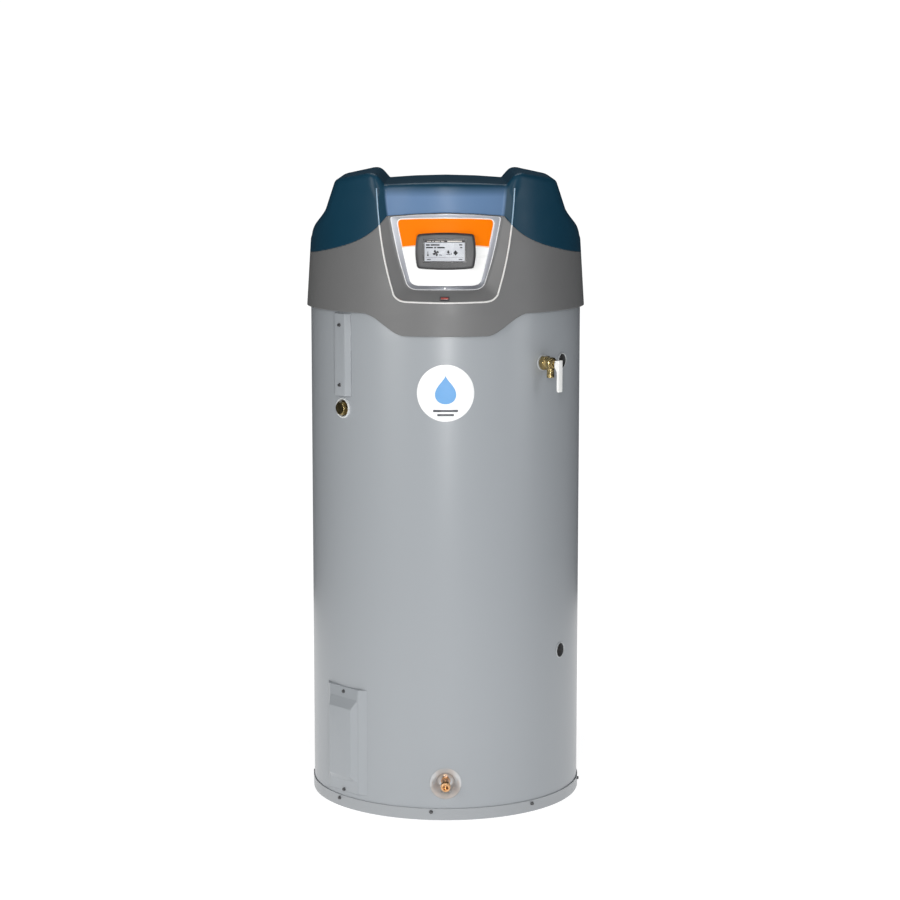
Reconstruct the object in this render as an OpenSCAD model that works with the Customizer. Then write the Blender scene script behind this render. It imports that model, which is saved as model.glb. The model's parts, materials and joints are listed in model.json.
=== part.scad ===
// Tank water heater: high-efficiency gas storage heater with a moulded top shroud.
// Frame: origin at the centre of the base on the floor, front face towards -Y, +Z up, millimetres.
// Angles round the jacket start at the front and grow towards +X.

/* [Jacket] */
// Outer diameter of the steel jacket
jacket_d = 610; // [604:1:616]
// Height of the jacket's top edge above the floor
jacket_top = 1134; // [1132:1:1136]
// Thickness of the jacket's sheet steel
sheet = 1.2; // [0.8:0.1:1.5]
// Height of the base pan's outer band
band_h = 27; // [24:1:30]

/* [Tank] */
// Outer diameter of the storage tank
tank_d = 510; // [500:1:512]
// Wall of the storage tank
tank_t = 3; // [2.5:0.1:4]
// Height of the seam between the shell and the top head
shell_top = 1040; // [1036:1:1042]
// Height of the seam between the shell and the bottom head
shell_bottom = 110; // [108:1:114]
// Rise of each dished head
head_rise = 45; // [42:1:46]

/* [Burner and flue] */
// Outer radius of the submerged combustion chamber
chamber_r = 110; // [108:1:112]
// Height of the combustion chamber's floor
chamber_z = 636; // [632:1:640]
// Mean radius of the flue coil
coil_r = 140; // [138:1:142]
// Outer radius of the flue tube
flue_r = 22; // [20:0.5:23]
// Height at which the flue leaves the chamber
coil_top = 668; // [666:1:672]
// Height at which the flue leaves the tank
coil_bottom = 190; // [186:1:196]

/* [Blower] */
// Height of the blower's shaft
blower_z = 1275; // [1272:1:1278]
// Distance of the blower's shaft from the burner's axis
blower_x = 60; // [58:1:62]
// Radius of the blower's housing
blower_r = 85; // [83:1:86]
// Radius of the impeller
impeller_r = 70; // [66:1:72]

/* [Shroud] */
// Radius of the shroud's lower lip
lip_r = 314; // [312:1:316]
// Height of the shroud's lower lip
lip_z = 1121; // [1120:1:1122]
// How far the front apron hangs below the lip
apron_drop = 46; // [42:1:48]
// Highest point of the shroud's two ears
ear_z = 1424; // [1422:1:1426]
// Height of the centre section between the ears
saddle_z = 1404; // [1402:1:1406]
// Wall of the shroud's moulding
shroud_t = 3.5; // [3:0.1:4]
// Radius of the floor of the front recess
recess_r = 284; // [282:1:286]

/* [Display] */
// Height of the display's centre
display_z = 1256.5; // [1255:0.5:1258]
// Half of the display bezel's width
display_hw = 65; // [64:1:66]
// Half of the display bezel's height
display_hh = 40; // [39:1:41]
// Distance of the bezel's front face from the heater's axis
display_y = 292; // [291:0.5:294]
// Travel of a soft key
key_travel = 0.8; // [0.6:0.1:1]

/* [Fittings] */
// Direction of the raceway, anode plug and access cover
left_a = -47.5; // [-49:0.5:-46]
// Direction of the relief valve
tp_a = 44.3; // [43.5:0.1:45.5]
// Height of the relief valve
tp_z = 1009.3; // [1007:0.1:1011]
// Direction of the two water ports
port_a = 57.5; // [57:0.5:59]
// Height of the hot outlet
hot_z = 1007.7; // [1006:0.1:1009]
// Height of the cold inlet
cold_z = 353.5; // [345:0.5:360]
// Height of the anode plug
plug_z = 907.7; // [904:0.1:910]
// Height of the drain valve
drain_z = 83.4; // [82:0.1:86]

/* [Hidden] */

$fn = 96;
eps = 0.02;
gap = 0.3;
jacket_r = jacket_d / 2;
tank_r = tank_d / 2;
pan_t = 1.5;
band_r = jacket_r + 2;
lid_z = jacket_top - 1;
screw_z = 19;
screw_a = [-51, -6, 39, 84, 129, 174, 219, 264];

raceway_z = [935.3, 1116.5];
raceway_screws = [959.2, 1091.3];
cover_z = [37.5, 283];
cover_screws_z = [43.2, 269.3];
upper_probe_z = 1020;
lower_probe_z = 150;
loom_a = left_a - 7;
loom_r = 287;

exhaust_z = coil_bottom;
vent_r = 44.6;
intake_y = 250;
gas_x = -150;
gas_z = 1200;
gas_r = 13.35;

badge_z = 952;
badge_r = 62;

// Cubic Bezier curve through n + 1 points
function bez(a, b, c, d, n) =
  [for (i = [0:n]) let (t = i / n, s = 1 - t)
    s * s * s * a + 3 * s * s * t * b + 3 * s * t * t * c + t * t * t * d];
function reverse(v) = [for (i = [len(v) - 1:-1:0]) v[i]];
function mirrored(v) = [for (p = reverse(v)) [-p[0], p[1]]];
function ease(t) = t * t * (3 - 2 * t);
function between(a, b, t) = a + (b - a) * t;

function unit(v) = v / norm(v);
// Moves each point of a chain to its left by g
function inset(v, g) = [for (i = [0:len(v) - 1])
  let (d = unit(v[min(i + 1, len(v) - 1)] - v[max(i - 1, 0)]))
    [max(0, v[i][0] - g * d[1]), v[i][1] + g * d[0]]];
// Right half of the shroud's top outline in the front view, outer side first
function top_half(g) = inset(concat(
  [[330, lip_z], [330, 1286]],
  bez([300, 1286], [292, 1312], [271, 1322], [264, 1342], 5),
  bez([245, 1396], [243, 1404], [236, 1410], [222, 1412], 3),
  bez([176, ear_z - 3], [150, ear_z + 4], [146, ear_z - 8], [131, saddle_z - 5], 6),
  [[70, saddle_z - 1.5], [0, saddle_z]]), g);
// Right half of the shroud's lower edge, from the centre outwards
function apron_half() = concat([[0, lip_z - apron_drop]],
  [for (i = [0:8]) let (t = i / 8) [between(88, 180, t), lip_z - apron_drop * (1 - ease(t))]]);
// Crest of the recess, and the edge where its flared wall meets the floor: top to bottom
function crest_half() = concat(
  bez([150, 1440], [148, 1330], [138, 1250], [116, 1177], 6),
  bez([112, 1163], [105, 1152], [96, 1149], [82, 1148.5], 3), [[0, 1147]]);
function floor_half() = concat(
  bez([129, 1440], [128, 1330], [112, 1270], [91, 1200], 6),
  bez([87, 1186], [80, 1174], [72, 1171.5], [56, 1171.5], 3), [[0, 1171]]);
// Outer radius of the shroud at height z
function shroud_r(z) = z < lip_z ? lip_r
  : z < 1280 ? between(lip_r, 304, (z - lip_z) / (1280 - lip_z)) : between(304, 300, (z - 1280) / 160);
function on_round(p, r) = [p[0], -sqrt(r * r - p[0] * p[0]), p[1]];
// Half of one end ring of the flared cutter, on the plane at y
function flare_half(y, g) = let (c = crest_half(), f = floor_half())
  [for (i = [0:len(c) - 1])
    let (a = on_round(c[i], shroud_r(c[i][1])), b = on_round(f[i], recess_r), t = (y - a[1]) / (b[1] - a[1]))
      [between(a[0], b[0], t) + (c[i][0] == 0 ? 0 : g), between(a[2], b[2], t) - g]];
function ring(y, g) = let (h = flare_half(y, g), m = mirrored(h))
  [for (p = concat(h, [for (i = [1:len(m) - 1]) m[i]])) [p[0], y, p[1]]];

// Turns its children to the place at angle a and height z, with -Y pointing out of the jacket
module at(a, z) rotate([0, 0, a]) translate([0, 0, z]) children();
// Round bar along -Y, from radius r0 to r1 of the heater
module spoke(r, r0, r1) translate([0, -r0, 0]) rotate([90, 0, 0]) cylinder(r = r, h = r1 - r0);
// Front-view outline pushed from y_back to y_front
module slab(y_front, y_back)
  translate([0, y_back, 0]) rotate([90, 0, 0]) linear_extrude(y_back - y_front) children();
module tube(r_out, r_in, z0, z1) difference() {
  translate([0, 0, z0]) cylinder(r = r_out, h = z1 - z0);
  translate([0, 0, z0 - 1]) cylinder(r = r_in, h = z1 - z0 + 2);
}
module hex(af, h) cylinder(d = af / cos(30), h = h, $fn = 6);
// Rectangle with round corners, centred
module rounded(w, h, r) {
  square([w - 2 * r, h], center = true);
  square([w, h - 2 * r], center = true);
  for (sx = [-1, 1], sz = [-1, 1]) translate([sx * (w / 2 - r), sz * (h / 2 - r)]) circle(r);
}

// Holes shared by the jacket and the foam behind it
module side_bores(r0, r1, extra) {
  at(0, drain_z) spoke(35.3 + extra, r0, r1);
  at(tp_a, tp_z) spoke(14.8 + extra, r0, r1);
  at(port_a, hot_z) spoke(17.3 + extra, r0, r1);
  at(port_a, cold_z) spoke(17.3 + extra, r0, r1);
  at(left_a, plug_z) spoke(20.5 + extra, r0, r1);
  at(180, exhaust_z) spoke(51 + extra, r0, r1);
}

module base_pan() color("#8f9498") difference() {
  cylinder(r = band_r, h = band_h);
  translate([0, 0, pan_t]) cylinder(r = jacket_r + gap, h = band_h);
  for (a = screw_a) at(a, screw_z) spoke(2.2, jacket_r - 5, band_r + 5);
}

module hex_washer_screw(r0, tip_r) {
  spoke(2, tip_r, r0 + 1.2);
  spoke(4.6, r0, r0 + 1.2);
  translate([0, -r0 - 1.2, 0]) rotate([90, 0, 0]) hex(6.4, 2.8);
}
module case_screws() color("#3d3f40") {
  for (a = screw_a) at(a, screw_z) hex_washer_screw(band_r, jacket_r - 8);
  for (z = raceway_screws) at(left_a, z) hex_washer_screw(jacket_r + 10, jacket_r - sheet);
  for (z = cover_screws_z) at(left_a, z) hex_washer_screw(jacket_r + 4, jacket_r - sheet);
}

module jacket() color("#aab0b4") difference() {
  union() {
    tube(jacket_r, jacket_r - sheet, pan_t, jacket_top);
    intersection() {
      tube(jacket_r + sheet, jacket_r - sheet / 2, band_h + 1, lip_z - 4);
      translate([-8, 0, 0]) cube([16, jacket_r + 10, jacket_top]);
    }
  }
  side_bores(jacket_r - 10, jacket_r + 10, 0);
  for (a = screw_a) at(a, screw_z) spoke(2.2, jacket_r - 5, band_r + 5);
  for (z = concat(raceway_screws, cover_screws_z)) at(left_a, z) spoke(2.2, jacket_r - 20, jacket_r + 5);
  at(left_a, upper_probe_z) translate([-14, -jacket_r - 5, -22]) cube([28, 12, 44]);
  at(left_a, lower_probe_z) translate([-36, -jacket_r - 5, -50]) cube([72, 12, 100]);
}

module jacket_lid() color("#9aa0a4") difference() {
  union() {
    translate([0, 0, lid_z]) cylinder(r = jacket_r - sheet - gap, h = 1.2);
    tube(jacket_r - sheet - gap, jacket_r - sheet * 2 - gap, lid_z - 18, lid_z + 0.5);
  }
  translate([0, 0, lid_z - 5]) cylinder(r = 132, h = 12);
  at(loom_a, lid_z - 5) translate([0, -loom_r, 0]) cylinder(r = 9, h = 12);
}

module foam_insulation() color("#e8d9a0") difference() {
  tube(jacket_r - sheet - gap, tank_r + gap, 60, lid_z - 19);
  side_bores(tank_r - 20, jacket_r + 10, 2);
  at(loom_a, 0) translate([0, -loom_r, lower_probe_z - 10]) cylinder(r = 8, h = 1100);
  for (z = [upper_probe_z, lower_probe_z])
    at(left_a, z) translate([-45, -jacket_r - 5, -14]) cube([60, jacket_r - tank_r + 10, 28]);
}

// Dished head of outer radius r, its seam at height 0
function crown(r, rise, n) = let (big = (r * r + rise * rise) / (2 * rise), a = asin(r / big))
  [for (i = [0:n]) [big * sin(a * i / n), rise - big + big * cos(a * i / n)]];
module head(r) rotate_extrude() polygon(concat(crown(r, head_rise, 8),
  reverse(crown(r - tank_t, head_rise - tank_t, 8))));
module tank_shell() color("#3f5f7a") difference() {
  tube(tank_r, tank_r - tank_t, pan_t, shell_top);
  at(tp_a, tp_z) spoke(13.65, tank_r - 20, tank_r + 20);
  for (z = [hot_z, cold_z]) at(port_a, z) spoke(15.5, tank_r - 20, tank_r + 20);
  at(left_a, plug_z) spoke(16.3, tank_r - 20, tank_r + 20);
  for (z = [upper_probe_z, lower_probe_z]) at(left_a, z) spoke(6.3, tank_r - 20, tank_r + 20);
  at(0, drain_z + 40) spoke(10, tank_r - 20, tank_r + 20);
  at(0, drain_z) spoke(10.8, tank_r - 40, tank_r + 20);
  at(180, exhaust_z) spoke(flue_r + gap, tank_r - 20, tank_r + 20);
}
module tank_top_head() color("#47688a") difference() {
  translate([0, 0, shell_top]) head(tank_r);
  translate([0, 0, shell_top - 1]) cylinder(r = chamber_r + gap, h = 100);
}
module tank_bottom_head() color("#47688a") translate([0, 0, shell_bottom]) head(tank_r - tank_t - gap);

chamber_top = 1082;
flange_r = 125;
gasket_z = chamber_top + 6;
flange_z = gasket_z + 3;
flange_top = flange_z + 9;
module combustion_chamber() color("#59636b") difference() {
  union() {
    tube(chamber_r, chamber_r - 3, chamber_z, gasket_z);
    translate([0, 0, chamber_z]) cylinder(r = chamber_r, h = 4);
    tube(flange_r, chamber_r - 3, chamber_top, gasket_z);
  }
  translate([0, -33, coil_top]) rotate([0, 90, 0]) cylinder(r = flue_r + gap, h = chamber_r + 10);
  bolt_circle() translate([0, 0, chamber_top - 5]) cylinder(r = 3.4, h = 30);
}
module bolt_circle() for (i = [0:7]) rotate([0, 0, 22.5 + 45 * i]) translate([0, 117.5, 0]) children();

// Flue: straight out of the chamber, round the coil and out through the rear wall
turns = 4;
coil_end = 360 * turns + 60;
flue_path = concat(
  [[97, -33, coil_top]],
  [for (i = [0:4]) let (a = -90 + 90 * i / 4) [coil_r - 33 + 33 * cos(a), 33 * sin(a), coil_top]],
  [for (a = [24:24:coil_end]) [coil_r * cos(a), coil_r * sin(a), between(coil_top, coil_bottom, a / coil_end)]],
  [for (i = [1:5]) let (a = 240 - 60 * i / 5)
    [coil_r + coil_r * cos(a), coil_r * sqrt(3) + coil_r * sin(a), coil_bottom]],
  [[0, tank_r + 6, coil_bottom]]);
function heading(p, i) = unit(p[min(i + 1, len(p) - 1)] - p[max(i - 1, 0)]);
function hoop(p, i, r, n) = let (t = heading(p, i), s = unit(cross(t, [0, 0, 1])), u = cross(s, t))
  [for (k = [0:n - 1]) p[i] + r * cos(360 * k / n) * s + r * sin(360 * k / n) * u];
module flue_coil() color("#6b7780") {
  n = 8;
  m = len(flue_path);
  skins = [for (r = [flue_r, flue_r - 2.5]) for (i = [0:m - 1]) for (q = hoop(flue_path, i, r, n)) q];
  walls = [for (s = [0, 1], i = [0:m - 2], k = [0:n - 1])
    let (a = (s * m + i) * n + k, b = (s * m + i) * n + (k + 1) % n)
      each s == 0 ? [[a, b, b + n], [a, b + n, a + n]] : [[b + n, b, a], [a + n, b + n, a]]];
  start = [for (k = [0:n - 1]) let (a = m * n + (k + 1) % n) each [[k, m * n + k, a], [k, a, (k + 1) % n]]];
  e = (m - 1) * n;
  finish = [for (k = [0:n - 1]) let (a = m * n + e + k, b = e + (k + 1) % n)
    each [[b, m * n + e + (k + 1) % n, a], [b, a, e + k]]];
  polyhedron(points = skins, faces = concat(walls, start, finish), convexity = 10);
}

module burner_gasket() color("#c9c4b8") difference() {
  tube(flange_r - 1, 60, gasket_z, flange_z);
  bolt_circle() translate([0, 0, gasket_z - 5]) cylinder(r = 3.4, h = 30);
  for (s = [-1, 1]) translate([s * 78, 0, gasket_z - 5]) cylinder(r = 9, h = 30);
}
module burner_flange() color("#a9adb0") difference() {
  translate([0, 0, flange_z]) cylinder(r = flange_r - 1, h = 9);
  translate([0, 0, flange_z - 1]) cylinder(r = 44, h = 20);
  bolt_circle() translate([0, 0, flange_z - 5]) cylinder(r = 3.4, h = 30);
  for (s = [-1, 1]) translate([s * 78, 0, flange_z - 5]) cylinder(r = 6.3, h = 30);
}
module flange_bolts() color("#55585a") bolt_circle() {
  translate([0, 0, chamber_top - 3]) cylinder(r = 3, h = flange_top - chamber_top + 3);
  translate([0, 0, flange_top]) hex(13, 6);
}
module burner_tube() color("#8d8676") difference() {
  union() {
    tube(46, 44.5, 830, flange_z);
    tube(58, 44.5, flange_z - 2, flange_z);
    translate([0, 0, 830]) cylinder(r = 46, h = 1.5);
  }
  for (z = [850:30:1030]) for (a = [0:30:150])
    translate([0, 0, z]) rotate([0, 0, a]) cube([100, 2.5, 18], center = true);
}
module electrode(x, bend) {
  translate([x, 0, flange_top]) cylinder(r = 9, h = 4);
  translate([x, 0, flange_z - 20]) cylinder(r = 6, h = 50);
  translate([x, 0, 940]) cylinder(r = 1.6, h = flange_z - 959);
  translate([x + bend, 0, 941.6]) rotate([0, bend > 0 ? -90 : 90, 0]) cylinder(r = 1.5, h = abs(bend));
}
module igniter() color("#ece8df") electrode(78, -20);
module flame_sensor() color("#e4dccb") electrode(-78, 16);

duct_z = 1180;
module mixing_duct() color("#9da2a6") difference() {
  union() {
    translate([0, 0, flange_top]) cylinder(r = 56, h = 5);
    translate([0, 0, flange_top]) cylinder(r = 44, h = 45);
    translate([-28, -38, flange_top + 40]) cube([56, 76, duct_z - flange_top - 40]);
    translate([-36, -46, duct_z - 4]) cube([72, 92, 4]);
  }
  translate([0, 0, flange_top - 1]) cylinder(r = 40, h = 48);
  translate([-24, -34, flange_top + 43]) cube([48, 68, 90]);
}

module on_blower(y) translate([blower_x, y, blower_z]) rotate([90, 0, 0]) children();
module blower_housing() color("#b5b9bc") difference() {
  union() {
    on_blower(36) cylinder(r = blower_r, h = 72);
    translate([blower_x - blower_r, -36, duct_z + 4]) cube([50, 72, blower_z - duct_z - 4]);
    translate([-36, -46, duct_z]) cube([72, 92, 4]);
  }
  on_blower(32) cylinder(r = blower_r - 3, h = 64);
  on_blower(50) cylinder(r = 42, h = 30);
  on_blower(-30) cylinder(r = 5, h = 20);
  translate([blower_x - blower_r + 3, -32, duct_z - 1]) cube([44, 64, blower_z - duct_z]);
}
module blower_impeller() color("#4a4d50") {
  difference() {
    union() {
      on_blower(-22) cylinder(r = impeller_r, h = 4);
      on_blower(4) cylinder(r = 16, h = 30);
      on_blower(-20) cylinder(r = 4, h = 50);
      for (a = [0:22.5:337.5]) on_blower(22) rotate([0, 0, a]) translate([impeller_r - 22, 0, 0])
        rotate([0, 0, 35]) translate([0, -1, 0]) cube([18, 2, 45]);
    }
  }
  on_blower(24) difference() {
    cylinder(r = impeller_r, h = 3);
    translate([0, 0, -1]) cylinder(r = impeller_r - 24, h = 5);
  }
}
module blower_motor() color("#2f3133") difference() {
  union() {
    on_blower(-36) cylinder(r = 52, h = 6);
    on_blower(-42) cylinder(r = 46, h = 52);
    on_blower(-94) cylinder(r = 30, h = 6);
  }
  on_blower(-30) cylinder(r = 4.05, h = 45);
}

// Gas train: inlet pipe at the rear, valve block, feed tube to the mixer at the blower's eye
valve_y = [60, 130];
mixer_y = [40, 110];
module gas_valve() color("#7f8487") {
  translate([gas_x - 35, valve_y[0], gas_z - 30]) cube([70, valve_y[1] - valve_y[0], 60]);
  translate([gas_x, 95, gas_z + 30]) cylinder(r = 18, h = 32);
  translate([gas_x, 95, gas_z + 62]) cylinder(r = 14, h = 5);
}
module gas_inlet_pipe() color("#3a3c3e") difference() {
  at(180, gas_z) translate([-gas_x, 0, 0]) {
    spoke(gas_r - 1, valve_y[1], jacket_r);
    spoke(gas_r, jacket_r - 5, jacket_r + 30);
  }
  at(180, gas_z) translate([-gas_x, 0, 0]) spoke(gas_r - 2.9, valve_y[1] + 5, jacket_r + 40);
}
module gas_feed_tube() color("#8b6b3d") {
  translate([gas_x + 35, 85, gas_z]) rotate([0, 90, 0]) cylinder(r = 9, h = blower_x - gas_x - 35);
  translate([blower_x, 85, gas_z - 9]) cylinder(r = 9, h = blower_z - gas_z - 34);
}
module intake_mixer() color("#d0d3d4") difference() {
  union() {
    on_blower(mixer_y[1]) cylinder(r = 46, h = mixer_y[1] - mixer_y[0]);
    on_blower(mixer_y[0]) cylinder(r = 58, h = 4);
  }
  on_blower(mixer_y[1] + 1) cylinder(r = 40, h = mixer_y[1] - mixer_y[0] + 6);
  translate([blower_x, 85, gas_z - 5]) cylinder(r = 9 + gap, h = 60);
}
module intake_collar() color("#e9e9e6") difference() {
  union() {
    on_blower(jacket_r + 30) cylinder(r = 50, h = jacket_r + 30 - intake_y);
    on_blower(intake_y) cylinder(r = 46, h = intake_y - mixer_y[1]);
  }
  on_blower(jacket_r + 31) cylinder(r = vent_r, h = 61);
  on_blower(jacket_r) cylinder(r = 41, h = jacket_r);
}

module exhaust_collar() color("#e9e9e6") difference() {
  at(180, exhaust_z) {
    spoke(50, tank_r + 12, jacket_r + 30);
    spoke(30, tank_r + 2.5, tank_r + 13);
  }
  at(180, exhaust_z) spoke(vent_r, jacket_r - 24, jacket_r + 31);
  at(180, exhaust_z) spoke(flue_r + gap, tank_r - 10, jacket_r);
  translate([0, jacket_r + 18, exhaust_z - 60]) cylinder(r = 7, h = 40);
}
module condensate_drain() color("#d7d9d6") translate([0, jacket_r + 18, 0]) difference() {
  union() {
    translate([0, 0, exhaust_z - 78]) cylinder(r = 6.9, h = 33);
    translate([0, 0, exhaust_z - 54]) cylinder(r = 10, h = 2.5);
  }
  translate([0, 0, exhaust_z - 80]) cylinder(r = 4.5, h = 40);
}

box_x = [-215, -120];
module control_box() color("#8e9396") difference() {
  translate([box_x[0], -120, lid_z + 1.2]) cube([95, 150, 175]);
  translate([box_x[0] + 2, -118, lid_z + 3.2]) cube([95, 146, 171]);
  translate([box_x[0] + 40, -130, lid_z + 150]) cube([30, 30, 15]);
}
module control_board() color("#2f6b3c") {
  translate([box_x[0] + 9, -110, lid_z + 20]) cube([2, 130, 145]);
  for (y = [-95, 5], z = [30, 150]) translate([box_x[0] + 2, y, lid_z + z]) rotate([0, 90, 0]) cylinder(r = 3, h = 7);
  translate([box_x[0] + 11, -90, lid_z + 120]) cube([30, 40, 35]);
  translate([box_x[0] + 11, 0, lid_z + 40]) cube([14, 14, 100]);
  translate([box_x[0] + 11, -40, lid_z + 45]) cube([5, 24, 24]);
}
module wiring_loom() color("#20262b") {
  at(loom_a, 0) translate([0, -loom_r, lower_probe_z]) cylinder(r = 6, h = 1100);
  at(loom_a, lower_probe_z + 1100) translate([0, -loom_r, 0]) sphere(r = 6);
}

module shroud_round(g) rotate_extrude() polygon([[0, 1000], [lip_r - g, 1000], [lip_r - g, lip_z],
  [304 - g, 1280], [300 - g, 1440], [0, 1440]]);
module shroud_outline(g, y0, y1) slab(y0, y1) polygon(concat(top_half(g), mirrored(top_half(g))));
module shroud_body(g) intersection() {
  shroud_round(g);
  shroud_outline(g, -330, 330);
}
module apron() intersection() {
  shroud_round(0);
  slab(-330, -150) polygon(concat(apron_half(), [[180, lip_z + 1], [-180, lip_z + 1]], mirrored(apron_half())));
}
// Front recess, with its floor on the radius recess_r
module recess(g) difference() {
  flare_cutter(g);
  translate([0, 0, 1050]) cylinder(r = recess_r - g, h = 500);
}
module flare_cutter(g) {
  front = ring(-340, g);
  back = ring(-235, g);
  n = len(front);
  polyhedron(points = concat(front, back), convexity = 4, faces = concat(
    [[for (i = [0:n - 1]) i]], [[for (i = [n - 1:-1:0]) n + i]],
    [for (i = [0:n - 1]) [i, n + i, (i + 1) % n]],
    [for (i = [0:n - 1]) [n + i, n + (i + 1) % n, (i + 1) % n]]));
}
module shroud() difference() {
  union() {
    shroud_body(0);
    apron();
  }
  recess(0);
  difference() {
    union() {
      shroud_body(shroud_t);
      translate([0, 0, 1000]) cylinder(r = lip_r - shroud_t, h = lip_z - 1000 + 1);
    }
    recess(shroud_t);
  }
  slab(-330, -200) translate([0, display_z]) square([118, 70], center = true);
  on_wall() block(18.2, 9, -6, 12);
  at(180, 0) {
    at(0, gas_z) translate([-gas_x, 0, 0]) spoke(gas_r + 1.5, 200, 340);
    at(0, blower_z) translate([-blower_x, 0, 0]) spoke(51, 200, 340);
  }
}
// Everything above the colour line, or below it when above is false
module colour_zone(above) {
  half = concat([[330, 1234]], bez([304, 1241], [200, 1268], [168, 1280], [126, 1331], 8), [[60, 1336.5], [0, 1338.5]]);
  g = above ? 0.2 : -0.2;
  line = [for (p = half) [p[0], p[1] + g]];
  top = above ? 1500 : 1000;
  slab(-340, 0) polygon(concat(line, mirrored(line), [[-330, top], [330, top]]));
  slab(0, 340) polygon([[-330, 1241 + g], [330, 1241 + g], [330, top], [-330, top]]);
}
module shroud_lower() color("#7b7b7b") {
  intersection() {
    shroud();
    colour_zone(false);
  }
  difference() {
    translate([0, 0, lid_z + 1.2]) cylinder(r = lip_r - shroud_t + 0.2, h = 2.5);
    translate([0, 0, lid_z]) cylinder(r = jacket_r - 9, h = 8);
  }
}
module shroud_upper() color("#213e58") intersection() {
  shroud();
  colour_zone(true);
}

// Fascia: silver frame and printed label, both following the recess floor
function frame_outer() = concat(
  bez([120.5, 1328], [116, 1300], [104, 1240], [94, 1212], 4),
  bez([86, 1186], [80, 1174], [70, 1172], [56, 1172], 3), [[0, 1172]]);
function frame_foot() = inset(frame_outer(), -1);
function frame_inner() = concat([[104.5, 1325]],
  bez([104.5, 1321], [100, 1290], [88, 1235], [80, 1203], 4),
  bez([77, 1192], [73, 1184], [64, 1182], [54, 1182], 3), [[0, 1182]]);
module frame_area() polygon(concat([[0, 1336.6], [62, 1334.6]], frame_foot(), mirrored(frame_foot()),
  [[-62, 1334.6]]));
module label_area() polygon(concat([[0, 1328.7], [55, 1327.8], [101, 1325.2]], frame_inner(),
  mirrored(frame_inner()), [[-101, 1325.2], [-55, 1327.8]]));
module fascia_layer(r0, r1) intersection() {
  tube(r1, r0, 1100, 1400);
  slab(-340, -200) children();
}
module fascia_frame() color("#b9b9c0") difference() {
  fascia_layer(recess_r + gap, recess_r + 5) frame_area();
  slab(-340, -200) label_area();
}
module fascia_label() color("white") difference() {
  fascia_layer(recess_r + gap, recess_r + 2.5) label_area();
  slab(-340, -200) translate([0, display_z]) bezel_outline(-gap);
}

// Display: barrel-shaped bezel, lens, panel, board and five soft keys
lens_w = 93;
lens_h = 51;
lens_x = -2;
lens_z = display_z + 1.5;
key_z = display_z - 31;
key_pitch = 18;
module bezel_outline(g) {
  n = 12;
  w = display_hw - g;
  h = display_hh - g;
  top = [for (i = [0:n]) let (x = between(w - 8, 8 - w, i / n)) [x, h - 3 * pow(x / w, 2)]];
  left = [for (i = [0:n]) let (z = between(h - 10, 10 - h, i / n)) [3 * pow(z / h, 2) - w, z]];
  polygon(concat(top, left, [for (p = top) [-p[0], -p[1]]], [for (p = left) [-p[0], -p[1]]]));
}
module display_bezel() color("#5f6263") translate([0, 0, display_z]) difference() {
  union() {
    difference() {
      slab(-display_y, -262) bezel_outline(0);
      translate([0, 0, -100]) cylinder(r = recess_r + gap, h = 200);
    }
    slab(-display_y + 1, -250) square([114, 66], center = true);
  }
  slab(-display_y - 1, 3.4 - display_y) translate([lens_x, lens_z - display_z]) rounded(lens_w + 0.6, lens_h + 0.6, 2);
  slab(-display_y - 1, -240) translate([lens_x, lens_z - display_z]) square([88, 46], center = true);
  slab(6 - display_y, -240) square([110, 62], center = true);
  for (i = [0:4]) slab(-display_y - 1, -240) key_hole(i);
  slab(6 - display_y, -240) translate([0, key_z - display_z]) square([4 * key_pitch + 16, 8.6], center = true);
}
module key_hole(i) translate([key_pitch * (i - 2), key_z - display_z]) rounded(12.6, 5.6, 1.5);
module display_lens() color("#1c2022", 0.6) translate([0, 0, lens_z])
  slab(0.4 - display_y, 2.4 - display_y) translate([lens_x, 0]) rounded(lens_w, lens_h, 1.7);
module lcd_panel() color("#d7dae4") translate([0, 0, lens_z])
  slab(3 - display_y, 8 - display_y) translate([lens_x, 0]) square([87, 45], center = true);
module display_board() color("#2f6b3c") translate([0, 0, display_z]) {
  slab(14 - display_y, 16 - display_y) square([109, 61], center = true);
  slab(8 - display_y, 14 - display_y) translate([lens_x, lens_z - display_z]) square([80, 40], center = true);
}
module soft_key(i) color("#585b5c") translate([key_pitch * (i - 2), 0, key_z]) {
  slab(-display_y, 6.2 - display_y) rounded(12, 5, 1.2);
  slab(6.2 - display_y, 8 - display_y) rounded(14.6, 7, 1.2);
}
module key_1() soft_key(0);
module key_2() soft_key(1);
module key_3() soft_key(2);
module key_4() soft_key(3);
module key_5() soft_key(4);

// Rocker switch in the recess's lower wall, tilted with it, in the on position
rocker_at = [-2, -302, 1155.9];
rocker_tilt = -49.4;
rocker_swing = 18;
rocker_pivot = 2.2;
module on_wall() translate(rocker_at) rotate([rocker_tilt, 0, 0]) children();
module block(w, h, y0, y1) translate([-w / 2, y0, -h / 2]) cube([w, y1 - y0, h]);
module rocker_frame() color("#4a2320") on_wall() difference() {
  union() {
    block(20, 10, -1.5, -0.4);
    block(17.6, 8.4, -0.5, 14);
  }
  block(16.2, 7.2, -3, 12);
  translate([0, rocker_pivot, 0]) rotate([0, 90, 0]) cylinder(r = 0.85, h = 17.2, center = true);
}
module power_rocker() color("#c8382c") on_wall() translate([0, rocker_pivot, 0])
  rotate([rocker_swing / 2, 0, 0]) {
    intersection() {
      rotate([0, 90, 0]) cylinder(r = 4.2, h = 15.6, center = true);
      block(15.6, 5.8, -5, 2.8);
    }
    rotate([0, 90, 0]) cylinder(r = 0.8, h = 17, center = true);
  }

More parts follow.
